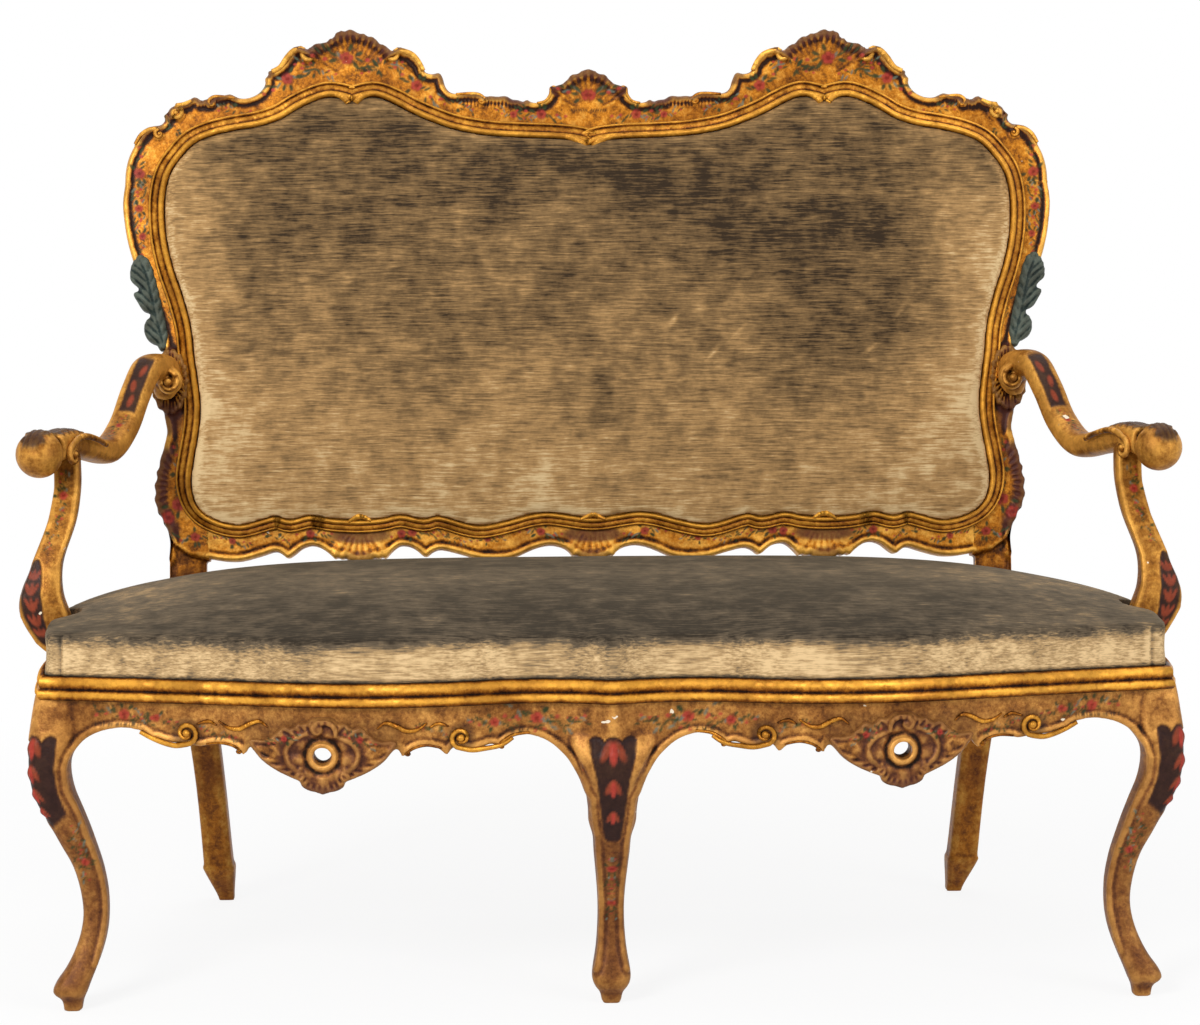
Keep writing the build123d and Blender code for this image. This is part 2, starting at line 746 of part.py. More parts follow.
def tack(point, down, *hosts):
    """A tack whose head lies on the cloth at a point."""
    pin = rod(point, point + down * tack_length, tack_shank)
    for host in hosts:
        cut(host, pin)
    tacks.append(pin + rod(point, point - down * tack_head_height, tack_head))


def seat_webs(along_x, places, low):
    half = web_width / 2
    strips = []
    for place in places:
        if along_x:
            strip = box_between((-far, place - half, low), (far, place + half, low + web_thickness))
        else:
            strip = box_between((place - half, -far, low), (place + half, far, low + web_thickness))
        strips.append(strip & web_field)
    return strips


web_level = rail_top + web_thickness
cross_places = [index * cross_web_step for index in range(-cross_web_side, cross_web_side + 1)]
cross_webs = seat_webs(False, cross_places, rail_top)
long_webs = seat_webs(True, long_web_depths, web_level)


def strap_at(strip, low, high):
    """The extent of a strap within a narrow slice, where a tack holds it."""
    return (strip & box_between((*low, 0), (*high, far))).bounding_box()


for index in range(1, cross_web_side + 1):
    strip = cross_webs[index + cross_web_side]
    for across in (-tack_spread, tack_spread):
        x = index * cross_web_step + across
        ends = strap_at(strip, (x - tack_head / 2, -far), (x + tack_head / 2, far))
        tack(Vector(x, ends.min.Y + tack_edge, web_level), -upright, "front_rail")
        tack(Vector(x, ends.max.Y - tack_edge, web_level), -upright, "rear_rail")
for middle, strip in zip(long_web_depths, long_webs):
    for across in (-tack_spread, tack_spread):
        depth = middle + across
        ends = strap_at(strip, (0, depth - tack_head / 2), (far, depth + tack_head / 2))
        tack(Vector(ends.max.X - tack_edge, depth, web_level + web_thickness), -upright, "side_rail")

hessian_low = rail_top + 2 * web_thickness + tack_head_height
post_notch = box_between((rear_post_inner_x - notch_clear, rear_depth - notch_clear, 0), (far, far, far))
foot_x, foot_depth, _, foot_width, _ = support_sections[0]
support_notch = box_between((foot_x - foot_width / 2 - notch_clear, foot_depth - support_room, 0),
                            (far, foot_depth + support_room, far))


def notched(shape):
    """Upholstery cut round the rear legs and the arm supports."""
    for notch in (post_notch, support_notch):
        shape = shape - notch - flip(notch)
    return shape


seat_rear = rear_depth + rail_thickness - web_inset
seat_hessian = notched(prism(frame_plan(web_inset, seat_rear), hessian_low,
                             hessian_low + hessian_thickness))
seat_profile = [(1, 0), (1 + seat_draw_in, 0.42), (2, 0.82)]
crown_profile = [(8, 0), (26, 0.27), (80, 0.6), (165, 0.9), (215, 1.0)]


def seat_pad(skin, bottom):
    """The crowned seat, set in by the thickness of its skin."""
    top = rail_top + seat_edge_height - skin
    levels = [(inset + skin, rail_top + share * seat_edge_height) for inset, share in seat_profile]
    levels += [(inset + skin, top + share * seat_crown) for inset, share in crown_profile]
    levels[0] = (levels[0][0], bottom)
    sections = [Pos(0, 0, height) * frame_plan(inset, seat_rear - inset) for inset, height in levels]
    return loft(sections, ruled=True)


seat_cover = notched(seat_pad(0, rail_top + soft_gap) - seat_pad(cover_thickness, rail_top + soft_gap))
seat_stuffing = notched(seat_pad(cover_thickness + soft_gap, hessian_low + hessian_thickness))

# Back: webbing on the board, hessian, stuffing and velvet cover, with a lining behind
web_face = board(sight_face(back_web_inset), 0, 2 * web_thickness)
back_up_webs = []
back_cross_webs = []
slope_down = -back_plane.z_dir
for index in range(-back_web_side, back_web_side + 1):
    u = index * back_web_step
    strip = board(Pos(u, 0) * Rectangle(web_width, far), 0, web_thickness) & web_face
    back_up_webs.append(strip)
for v in back_web_heights:
    strip = board(Pos(0, v) * Rectangle(far, web_width), web_thickness, 2 * web_thickness) & web_face
    back_cross_webs.append(strip)
    for across in (-tack_spread, tack_spread):
        reach = strip.bounding_box().max.X - back_tack_edge
        tack(on_back(reach, v + across, 2 * web_thickness), slope_down, "rear_stile")

back_hessian_low = 2 * web_thickness + tack_head_height
back_hessian = board(sight_face(back_web_inset), back_hessian_low, back_hessian_low + hessian_thickness)


def back_dome(skin):
    """The swell of the back pad over the whole field, before it is trimmed to the moulding."""
    edge = back_edge_height - skin
    height = crest_seat_v
    sections = []
    for place, share in ((-1, 0.1), (-0.5, 0.8), (0, 1), (0.5, 0.8), (1, 0.1)):
        origin = on_back(place * corner_x, 0)
        plane = Plane(origin=origin, x_dir=back_plane.y_dir, z_dir=(1, 0, 0))
        arc = ThreePointArc((0, edge), (height / 2, edge + share * back_crown), (height, edge))
        base = Polyline((height, edge), (height, 0), (0, 0), (0, edge))
        sections.append(plane * make_face([arc, *base.edges()]))
    return loft(sections)


field_depth = 2 * (back_edge_height + back_crown)
back_outer = board(sight_face(soft_gap), 0, field_depth) & back_dome(0)
back_inner = board(sight_face(soft_gap + cover_thickness), 0, field_depth) & back_dome(cover_thickness)
back_cover = back_outer - back_inner
stuffing_low = back_hessian_low + hessian_thickness
back_stuffing = board(sight_face(back_web_inset + soft_gap), stuffing_low, field_depth)
back_stuffing &= back_dome(cover_thickness + soft_gap)
back_lining = board(sight_face(back_web_inset), -board_thickness - lining_thickness, -board_thickness)


def fitted(name, shape):
    """A piece with its tenons on and the room for its fittings taken out."""
    if tongues[name]:
        shape = shape + tongues[name]
    if rooms[name]:
        shape = shape - rooms[name]
    return shape


solids = {name: fitted(name, shape) for name, shape in middles.items()}
for name, shape in pieces.items():
    solids[name + "_right"] = fitted(name, shape)
    solids[name + "_left"] = flip(solids[name + "_right"])


def group(solids):
    """Like pieces that share a node, on both sides of the middle."""
    return Compound([*solids, *[flip(solid) for solid in solids]])


solids["joint_pegs"] = group(pegs)
solids["joint_dowels"] = group(dowels)
solids["frame_screws"] = group(screws)
solids["webbing_tacks"] = group(tacks)
pins = [*tacks, *[flip(pin) for pin in tacks]]
for name, strips in (("seat_webbing_cross", cross_webs), ("seat_webbing_long", long_webs),
                     ("back_webbing_upright", back_up_webs), ("back_webbing_cross", back_cross_webs)):
    solids[name] = Compound([strip - pins for strip in strips])
solids["seat_hessian"] = seat_hessian
solids["seat_stuffing"] = seat_stuffing
solids["seat_cover"] = seat_cover
solids["back_hessian"] = back_hessian
solids["back_stuffing"] = back_stuffing
solids["back_cover"] = back_cover
solids["back_lining"] = back_lining

os.makedirs("parts", exist_ok=True)
for name, shape in solids.items():
    placed = Pos(0, -middle_depth, 0) * shape
    export_step(placed, "parts/" + name + ".step")
    print(name, len(placed.solids()), round(placed.volume / 1000, 1), "cm3")
print("moved forward by", round(middle_depth, 2))
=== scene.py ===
# %% [markdown]
# A carved, painted and parcel-gilt settee. The imported CAD model is the fixed frame: it says where every
# piece is. This lesson dresses it with carved wood, gilding, painted flowers and velvet. The fixed frame
# is loaded first.

# %% Load the frame
import json
import math
import random

import bmesh
import bpy
import numpy as np
from mathutils import Matrix, Vector
from mathutils.geometry import interpolate_bezier


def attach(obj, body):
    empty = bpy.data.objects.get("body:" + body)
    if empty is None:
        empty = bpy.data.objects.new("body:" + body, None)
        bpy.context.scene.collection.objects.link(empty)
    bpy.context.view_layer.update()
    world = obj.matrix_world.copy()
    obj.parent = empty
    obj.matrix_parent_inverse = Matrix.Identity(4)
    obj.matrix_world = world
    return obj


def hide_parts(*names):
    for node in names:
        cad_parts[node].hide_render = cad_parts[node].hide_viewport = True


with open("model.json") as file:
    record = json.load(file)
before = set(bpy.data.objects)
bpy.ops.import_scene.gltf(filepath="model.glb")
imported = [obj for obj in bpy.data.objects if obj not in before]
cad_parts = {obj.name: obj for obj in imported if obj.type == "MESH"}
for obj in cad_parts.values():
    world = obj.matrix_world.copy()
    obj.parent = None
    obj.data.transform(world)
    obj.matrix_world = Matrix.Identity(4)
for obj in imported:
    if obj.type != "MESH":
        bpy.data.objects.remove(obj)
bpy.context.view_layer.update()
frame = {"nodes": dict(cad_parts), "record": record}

MM = 0.001
print("nodes in the frame:", len(frame["nodes"]))

# %% [markdown]
# Two work surfaces carry nearly all the carving. The back leans by ten and a half degrees, so its boards
# are drawn flat in u (across), v (up the slope) and w (out of the face), in millimetres, and then laid on
# the slope by one matrix. The seat front is bowed, so its boards are drawn flat too and then bent.

# %% Places on the settee
DEPTH_SHIFT = 300.31
BACK_FOOT = Vector((0, 510 - DEPTH_SHIFT, 500)) * MM
RECLINE = math.radians(10.5)
lean_up = Vector((0, math.sin(RECLINE), math.cos(RECLINE)))
lean_out = Vector((0, -math.cos(RECLINE), math.sin(RECLINE)))
BACK = Matrix.Translation(BACK_FOOT) @ Matrix((
    (MM, 0, 0, 0),
    (0, lean_up.y * MM, lean_out.y * MM, 0),
    (0, lean_up.z * MM, lean_out.z * MM, 0),
    (0, 0, 0, 1),
))
FLOOR_PLAN = Matrix.Translation((0, -DEPTH_SHIFT * MM, 0)) @ Matrix.Scale(MM, 4)
print("the back leans", round(math.degrees(RECLINE), 1), "degrees")

# %% [markdown]
# Carvers draw an outline through a few points and let it flow. A Bezier curve through the points does the
# same here. The seat's plan is set out with arcs through three points, as a joiner would do with a
# batten: it swells on both sides of the middle leg and draws in between.

# %% Flowing lines and the seat's plan


def flowing(points, steps=5, closed=False):
    """A smooth line through a few points."""
    count = len(points)
    spans = count if closed else count - 1
    line = []
    for i in range(spans):
        a, b = Vector(points[i]), Vector(points[(i + 1) % count])
        before = Vector(points[i - 1]) if closed or i else a
        after = Vector(points[(i + 2) % count]) if closed or i + 2 < count else b
        line += interpolate_bezier(a, a + (b - before) / 6, b - (after - a) / 6, b, steps + 1)[:-1]
    if not closed:
        line.append(Vector(points[-1]))
    return line


def arc_through(p, q, r, steps=12):
    """Points on the circle through three points, from the first to the last."""
    ax, ay, bx, by, cx, cy = *p, *q, *r
    d = 2 * (ax * (by - cy) + bx * (cy - ay) + cx * (ay - by))
    a2, b2, c2 = ax * ax + ay * ay, bx * bx + by * by, cx * cx + cy * cy
    ox = (a2 * (by - cy) + b2 * (cy - ay) + c2 * (ay - by)) / d
    oy = (a2 * (cx - bx) + b2 * (ax - cx) + c2 * (bx - ax)) / d
    start = math.atan2(ay - oy, ax - ox)
    turn = math.atan2(cy - oy, cx - ox) - start
    turn = (turn + math.pi) % (2 * math.pi) - math.pi
    radius = math.hypot(ax - ox, ay - oy)
    angles = [start + turn * i / steps for i in range(steps + 1)]
    return [(ox + radius * math.cos(t), oy + radius * math.sin(t)) for t in angles]


def seat_plan(inset=0, rear=500):
    """Right half of the seat frame's outline from above, from the middle of the front to the rear."""
    reach = 713 - inset
    corners = [
        (0, inset - 66), (0.119 * reach, inset - 47), (0.238 * reach, inset - 58),
        (0.42 * reach, inset - 72), (0.589 * reach, inset - 56), (0.7945 * reach, inset - 21),
        (reach, 10 + inset), (708 - inset, (10 + inset + rear) / 2), (602 - inset, rear),
    ]
    line = []
    for i in (0, 2, 4, 6):
        line += arc_through(*corners[i:i + 3], 24 if i == 6 else 12)[:-1]
    return line + [corners[-1]]


front_line = np.array([p for p in seat_plan() if p[1] < 10.5])


def bow(x):
    """Depth of the seat rail's face at a distance from the middle."""
    return np.interp(np.abs(x), front_line[:, 0], front_line[:, 1])


print("the seat front swells to", round(float(-front_line[:, 1].min())), "mm")

# %% [markdown]
# Carved wood has soft edges and runs together where pieces meet. A voxel remesh turns a joined set of
# rough solids into one skin of even small faces, as gesso does on the real frame. The skin can then be
# pushed in and out by a height function, which is how ribs, beads and shells are cut here.

# %% Solids and skins


def raise_faces(bm, height):
    """Raise all faces of a flat bmesh into a solid."""
    made = bmesh.ops.extrude_face_region(bm, geom=bm.faces[:])
    moved = [g for g in made["geom"] if isinstance(g, bmesh.types.BMVert)]
    bmesh.ops.translate(bm, vec=(0, 0, height), verts=moved)
    bmesh.ops.triangulate(bm, faces=[f for f in bm.faces if len(f.verts) > 4])
    bmesh.ops.recalc_face_normals(bm, faces=bm.faces)
    return bm


def prism(outline, low, high):
    """A flat outline raised between two heights."""
    bm = bmesh.new()
    bm.faces.new([bm.verts.new((x, y, low)) for x, y in outline])
    return raise_faces(bm, high - low)


def section(place, wide, deep, axes=None):
    """A frame that sizes a unit section, turns it and puts it in its place."""
    turn = Matrix(axes).transposed().to_4x4() if axes else Matrix()
    return Matrix.Translation(place) @ turn @ Matrix.Diagonal((wide, deep, 1, 1))


def extrude_along(bm, cap, frames):
    """Carry a face from frame to frame, and give back the last one."""
    for before, after in zip(frames, frames[1:]):
        made = bmesh.ops.extrude_face_region(bm, geom=[cap])
        moved = [g for g in made["geom"] if isinstance(g, bmesh.types.BMVert)]
        cap = [g for g in made["geom"] if isinstance(g, bmesh.types.BMFace)][0]
        bmesh.ops.transform(bm, matrix=after @ before.inverted(), verts=moved)
    return cap


def sweep(bm, frames, squareness=0.62, segments=28):
    """A limb whose section follows a list of frames."""
    made = bmesh.ops.create_circle(bm, cap_ends=True, segments=segments, radius=0.5)
    for v in made["verts"]:
        for i in (0, 1):
            v.co[i] = math.copysign(abs(2 * v.co[i]) ** squareness / 2, v.co[i])
    bmesh.ops.transform(bm, matrix=frames[0], verts=made["verts"])
    extrude_along(bm, made["verts"][0].link_faces[0], frames)
    bmesh.ops.recalc_face_normals(bm, faces=bm.faces)


def as_mesh(bm, name):
    """Turn a bmesh into a mesh."""
    mesh = bpy.data.meshes.new(name)
    bm.to_mesh(mesh)
    bm.free()
    return mesh


def remeshed(bm, voxel, name, soften=1):
    """One even skin round everything in a bmesh."""
    holder = bpy.data.objects.new(name, as_mesh(bm, name))
    bpy.context.scene.collection.objects.link(holder)
    skin = holder.modifiers.new("skin", "REMESH")
    skin.mode = "VOXEL"
    skin.voxel_size = voxel
    graph = bpy.context.evaluated_depsgraph_get()
    mesh = bpy.data.meshes.new_from_object(holder.evaluated_get(graph))
    rough = holder.data
    bpy.data.objects.remove(holder)
    bpy.data.meshes.remove(rough)
    mesh.name = name
    out = bmesh.new()
    out.from_mesh(mesh)
    for _ in range(soften):
        bmesh.ops.smooth_vert(out, verts=out.verts, factor=0.5, use_axis_x=True, use_axis_y=True,
                              use_axis_z=True)
    out.to_mesh(mesh)
    out.free()
    return mesh


print("outlines, limbs and skins can be made")

# %% [markdown]
# Carving by formula means moving thousands of points at once. Blender hands the points over as one long
# array, numpy works on all of them together, and the array goes back. Ridges and ramps are the chisels:
# one gives a round rib, the other a soft step. The hollow map finds where dirt would settle.

# %% Carving helpers


def places(mesh):
    """The places of a mesh's points."""
    co = np.empty(len(mesh.vertices) * 3)
    mesh.vertices.foreach_get("co", co)
    return co.reshape(-1, 3)


def move_to(mesh, co):
    """Set the places of a mesh's points."""
    mesh.vertices.foreach_set("co", co.ravel())
    mesh.update()


def normals(mesh):
    """The directions in which a mesh's points face."""
    n = np.empty(len(mesh.vertices) * 3)
    mesh.vertices.foreach_get("normal", n)
    return n.reshape(-1, 3)


def edge_distance(points, line):
    """Distance of flat points from a line of points."""
    near = np.full(len(points), 1e9)
    for a, b in zip(line, line[1:]):
        a, b = np.array(a[:2]), np.array(b[:2])
        along = b - a
        t = np.clip(((points - a) @ along) / max(along @ along, 1e-9), 0, 1)
        gap = points - a - t[:, None] * along
        near = np.minimum(near, np.hypot(gap[:, 0], gap[:, 1]))
    return near


def ridge(d, middle, width):
    """A round rib: 1 at the middle, fading to 0 on both sides."""
    return np.exp(-(((d - middle) / width) ** 2))


def ramp(x, low, high):
    """A soft step from 0 at low to 1 at high."""
    t = np.clip((x - low) / (high - low), 0, 1)
    return t * t * (3 - 2 * t)


def hollow_map(mesh, rounds, reach):
    """How far each point stands out of its smoothed surroundings, from 0 in a hollow to 1 on a ridge."""
    co = places(mesh)
    pairs = np.empty(len(mesh.edges) * 2, int)
    mesh.edges.foreach_get("vertices", pairs)
    a, b = pairs.reshape(-1, 2).T
    count = np.bincount(np.concatenate((a, b)), minlength=len(co)).clip(1)[:, None]
    soft = co.copy()
    for _ in range(rounds):
        total = np.zeros_like(soft)
        for axis in range(3):
            total[:, axis] = np.bincount(a, soft[b, axis], len(co))
            total[:, axis] += np.bincount(b, soft[a, axis], len(co))
        soft = total / count
    out = ((co - soft) * normals(mesh)).sum(1)
    return np.clip(0.5 + out / reach, 0, 1)


print("carving helpers ready")

# %% [markdown]
# Every finished piece is entered in the same way: it rides on the settee's one body, and it says which
# CAD pieces it stands for. Arms, stiles and leaves come in pairs, so only the right one is made, and its
# twin is mirrored and turned right side out.

# %% Showing a piece


def keep(mesh, **layers):
    """Keep values or colours on the points of a mesh, each layer under its name."""
    for name, values in layers.items():
        kind, field = ("FLOAT_COLOR", "color") if values.ndim == 2 else ("FLOAT", "value")
        layer = mesh.attributes.new(name, kind, "POINT")
        layer.data.foreach_set(field, values.astype(np.float32).ravel())


def show(mesh, name, material, slot, *nodes):
    """Put a finished mesh into the scene, in place of its CAD nodes if it has any."""
    piece = bpy.data.objects.new(name, mesh)
    bpy.context.scene.collection.objects.link(piece)
    mesh.materials.clear()
    mesh.materials.append(material)
    mesh.shade_smooth()
    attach(piece, "root")
    if nodes:
        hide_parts(*nodes)
    print(name, len(mesh.polygons), "faces")
    return piece


def show_pair(mesh, name, material, slot, node=None):
    """Show a right-hand piece and its mirrored left-hand twin."""
    twin = mesh.copy()
    twin.transform(Matrix.Scale(-1, 4, (1, 0, 0)))
    twin.flip_normals()
    for half, side in ((mesh, "_right"), (twin, "_left")):
        nodes = [node + side] if node else []
        show(half, name + side, material, slot, *nodes)


print("pieces can be shown")

# %% [markdown]
# The painter's work: roses, buds and leaf sprays in red, green and grey-green on the gold ground, and the
# red-brown on shell rims. It could be an image, but images are not used here, so each stroke is a soft
# ellipse laid on the points of the dense skin. Colours are kept premultiplied by how far they cover.

# %% Brush strokes
ROSE = (0.2, 0.012, 0.008)
ROSE_LIGHT = (0.4, 0.045, 0.028)
LEAF_GREEN = (0.03, 0.042, 0.012)
LEAF_GREY = (0.13, 0.16, 0.12)
PLUM = (0.085, 0.024, 0.016)
DARK_PLUM = (0.022, 0.008, 0.007)
CORAL = (0.25, 0.045, 0.018)
INK = (0.02, 0.012, 0.006)
BROWN_GLAZE = (0.13, 0.04, 0.012)


def bare(points):
    """No paint yet, on as many points."""
    return np.zeros((len(points), 4))


def lay(paint, mask, colour):
    """Lay a colour over the paint where a mask says."""
    paint *= (1 - mask)[:, None]
    paint += mask[:, None] * np.array((*colour, 1.0))


def stroke(points, paint, at, size, angle, colour, cover=0.9, soft=0.5):
    """One soft ellipse of paint."""
    gap = points - np.array(at)
    near = np.nonzero(np.abs(gap).max(1) < max(size) * 1.1)[0]
    if len(near) == 0:
        return
    c, s = math.cos(angle), math.sin(angle)
    x = (gap[near, 0] * c + gap[near, 1] * s) / size[0]
    y = (gap[near, 1] * c - gap[near, 0] * s) / size[1]
    mask = np.clip((1 - np.hypot(x, y)) / soft, 0, 1) * cover
    part = paint[near]
    lay(part, mask, colour)
    paint[near] = part


FAR_OFF = 9999


def reachable(points, mask):
    """Send the points that a mask leaves out far from every stroke."""
    return points + (1 - mask)[:, None] * FAR_OFF


print("brush ready")

# %% [markdown]
# A spray is a rose on a bent stem with leaves and buds on both sides. Painters repeat such a spray with
# small changes, and so does this function: a seed stands for each hand-painted variation. Where a spray
# will lie, the skin's faces are split first, because a stroke can't be finer than the points it lies on.

# %% Flower sprays


def rose(points, paint, at, size, seed):
    """Overlapping petals round a dark heart."""
    draw = random.Random(seed)
    stroke(points, paint, at, (size, size * 0.8), draw.uniform(0, 3), ROSE, 0.8)
    for i in range(5):
        t = i * 1.256 + draw.uniform(0, 0.6)
        spot = (at[0] + 0.5 * size * math.cos(t), at[1] + 0.42 * size * math.sin(t))
        stroke(points, paint, spot, (size * 0.4, size * 0.28), t + 1.2, ROSE_LIGHT, 0.75)
    stroke(points, paint, at, (size * 0.3, size * 0.26), 0, ROSE, 0.9)


def spray(points, paint, at, angle, size, seed, roses=1):
    """A rose with leaves on both sides of a bent stem, and a few buds."""
    draw = random.Random(seed)
    along = np.array((math.cos(angle), math.sin(angle)))
    across = np.array((-along[1], along[0]))
    for side in (-1, 1):
        for i in range(6):
            far = side * size * (0.55 + 0.42 * i)
            off = size * (draw.uniform(-0.45, 0.45) + 0.12 * side * i)
            spot = np.array(at) + far * along + off * across
            tint = LEAF_GREY if draw.random() < 0.3 else LEAF_GREEN
            lean = angle + side * draw.uniform(0.3, 1.1) * (1 if off > 0 else -1)
            stroke(points, paint, spot, (size * 0.42, size * 0.15), lean, tint, 0.85)
        for i in (2, 4):
            far = side * size * (0.7 + 0.45 * i)
            spot = np.array(at) + far * along + size * draw.uniform(-0.3, 0.3) * across
            stroke(points, paint, spot, (size * 0.24, size * 0.2), 0, ROSE_LIGHT, 0.85)
    for _ in range(4):
        t = draw.uniform(0, 6.28)
        spot = np.array(at) + size * 1.05 * np.array((math.cos(t), 0.8 * math.sin(t)))
        stroke(points, paint, spot, (size * 0.4, size * 0.2), t, LEAF_GREEN, 0.9)
    for i in range(roses):
        rose(points, paint, np.array(at) + i * size * 1.3 * along, size * 0.72, seed + i)


def paint_sprays(points, paint, sprays):
    """Paint a list of sprays, each with its place, lean, size, seed and number of roses."""
    for at, angle, size, seed, roses in sprays:
        spray(points, paint, at, angle, size, seed, roses)


def finer(mesh, sprays, mirrored=True):
    """Split the faces on the front of a flat board where sprays will be painted."""
    bm = bmesh.new()
    bm.from_mesh(mesh)
    picked = set()
    for face in bm.faces:
        p = face.calc_center_median()
        x = abs(p.x) if mirrored else p.x
        for at, _, size, *_ in sprays:
            if p.z > -5 and abs(x - at[0]) < 3.1 * size and abs(p.y - at[1]) < 1.7 * size:
                picked.update(face.edges)
    bmesh.ops.subdivide_edges(bm, edges=list(picked), cuts=1, use_grid_fill=True)
    bm.to_mesh(mesh)
    bm.free()
    return places(mesh)


def hatching(points, paint, start, end, count, length, lean):
    """A row of short dark dashes, as at the foot of a shell."""
    for i in range(count):
        t = (i + 0.5) / count
        spot = (start[0] + t * (end[0] - start[0]), start[1] + t * (end[1] - start[1]))
        stroke(points, paint, spot, (length, 1.5), lean, INK, 0.8, 0.7)


print("sprays ready")

# %% [markdown]
# A material in Blender is a tree of nodes. The same few nodes come back in every finish here, so each
# gets a small function that adds it, sets its sockets and gives back its output. They could be wired by
# hand in the shader editor; written down, a whole finish fits on half a page.

# %% Node helpers


def new_material(name):
    """A new material with its tree, its main shader and the object's coordinates."""
    material = bpy.data.materials.new(name)
    material.use_nodes = True
    tree = material.node_tree
    coords = tree.nodes.new("ShaderNodeTexCoord").outputs["Object"]
    return material, tree, tree.nodes["Principled BSDF"], coords


def set_sockets(node, values):
    """Set sockets of a node to fixed values, or link them to outputs of other nodes."""
    for name, value in values.items():
        if isinstance(value, bpy.types.NodeSocket):
            node.id_data.links.new(value, node.inputs[name])
        else:
            node.inputs[name].default_value = value


def noise_node(tree, coords, scale, detail=4, rough=0.6):
    """Cloudy noise."""
    node = tree.nodes.new("ShaderNodeTexNoise")
    set_sockets(node, {"Vector": coords, "Scale": scale, "Detail": detail, "Roughness": rough})
    return node.outputs["Fac"]


def stretched(tree, coords, scale):
    """Coordinates with a scale of their own along each axis."""
    node = tree.nodes.new("ShaderNodeMapping")
    set_sockets(node, {"Vector": coords, "Scale": scale})
    return node.outputs["Vector"]


def math_node(tree, kind, *values):
    """One step of arithmetic on sockets or numbers."""
    node = tree.nodes.new("ShaderNodeMath")
    node.operation = kind
    set_sockets(node, dict(enumerate(values)))
    return node.outputs[0]


def ramp_node(tree, value, stops):
    """A colour ramp through a few (place, colour) stops."""
    node = tree.nodes.new("ShaderNodeValToRGB")
    points = node.color_ramp.elements
    while len(points) < len(stops):
        points.new(0.5)
    for point, (place, colour) in zip(points, stops):
        point.position = place
        point.color = (*colour, 1)
    tree.links.new(value, node.inputs["Fac"])
    return node.outputs["Color"]


def mix_node(tree, kind, factor, a, b):
    """Blend two colours."""
    node = tree.nodes.new("ShaderNodeMix")
    node.data_type = "RGBA"
    node.blend_type = kind
    set_sockets(node, {0: factor, 6: a, 7: b})
    return node.outputs[2]


def attribute_node(tree, name):
    """Read a value kept on the points."""
    node = tree.nodes.new("ShaderNodeAttribute")
    node.attribute_name = name
    return node


def bump_node(tree, height, strength, distance):
    """Small relief that bends the light only."""
    node = tree.nodes.new("ShaderNodeBump")
    set_sockets(node, {"Strength": strength, "Distance": distance, "Height": height})
    return node.outputs["Normal"]


print("node helpers ready")

# %% [markdown]
# Gilding is thin metal over clay and gesso. In hollows a brown glaze has settled, and on ridges the gold
# is rubbed bright. One gold colour would look like plastic. So the tone kept on the points drives a
# colour ramp, noise breaks it up, and the paint lies over it. On the mouldings and the gilt rods the tone
# holds painted highlights and painted shade instead, and on the lower back rail it is lifted as painted
# light. The same tree serves all gilt finishes with other colours: back frame, seat frame, beads.

# %% Gilt finishes


def gilt(name, glaze, ground, gold, bright, metal, shine, chips, carved=True):
    """Gold over gesso: glazed hollows, rubbed ridges, painted light, painted flowers and small chips."""
    material, tree, shader, coords = new_material(name)
    cloud = noise_node(tree, coords, 55, 5)
    patch = noise_node(tree, coords, 14, 4)
    grain = noise_node(tree, coords, 230, 4, 0.7)
    tone = attribute_node(tree, "tone").outputs["Fac"] if carved else noise_node(tree, coords, 24, 3)
    worn = math_node(tree, "MULTIPLY_ADD", cloud, 0.75, math_node(tree, "ADD", tone, -0.64))
    worn = math_node(tree, "MULTIPLY_ADD", grain, 0.6, worn)
    colour = ramp_node(tree, worn, [(0.2, glaze), (0.39, ground), (0.55, gold), (0.8, bright)])
    shade = ramp_node(tree, patch, [(0.34, (0.5, 0.42, 0.36)), (0.6, (1.0, 1.0, 1.0))])
    colour = mix_node(tree, "MULTIPLY", 0.85, colour, shade)
    if carved:
        paint = attribute_node(tree, "paint")
        colour = mix_node(tree, "MIX", paint.outputs["Alpha"], colour, (0, 0, 0, 1))
        colour = mix_node(tree, "ADD", 1.0, colour, paint.outputs["Color"])
        metal = math_node(tree, "MULTIPLY_ADD", paint.outputs["Alpha"], -metal, metal)
    grime = ramp_node(tree, noise_node(tree, coords, 95, 5, 0.7),
                      [(0.32, (0.3, 0.22, 0.17)), (0.58, (1.0, 1.0, 1.0))])
    colour = mix_node(tree, "MULTIPLY", 0.5, colour, grime)
    chip = ramp_node(tree, noise_node(tree, coords, 62, 2, 0.4),
                     [(chips, (0, 0, 0)), (chips + 0.012, (1, 1, 1))])
    colour = mix_node(tree, "MIX", chip, colour, (0.78, 0.68, 0.52, 1))
    rough = math_node(tree, "MULTIPLY_ADD", cloud, 0.35, shine)
    height = math_node(tree, "MULTIPLY_ADD", cloud, 1.0, math_node(tree, "MULTIPLY", grain, 0.5))
    set_sockets(shader, {"Base Color": colour, "Metallic": metal, "Roughness": rough,
                         "Specular IOR Level": 0.14, "Normal": bump_node(tree, height, 0.6, 0.0016)})
    return material


back_gilt = gilt("gilt_back_frame", (0.02, 0.006, 0.002), (0.2, 0.064, 0.006), (0.56, 0.2, 0.012),
                 (0.92, 0.48, 0.08), metal=0.4, shine=0.26, chips=0.775)
seat_gilt = gilt("gilt_seat_frame", (0.016, 0.006, 0.002), (0.15, 0.054, 0.016), (0.35, 0.14, 0.03),
                 (0.7, 0.34, 0.08), metal=0.35, shine=0.28, chips=0.765)
bead_gilt = gilt("gilt_beads", (0.016, 0.004, 0.001), (0.17, 0.052, 0.005), (0.4, 0.14, 0.01),
                 (0.78, 0.37, 0.045), metal=0.45, shine=0.24, chips=0.785)
print("gilt finishes: 3")

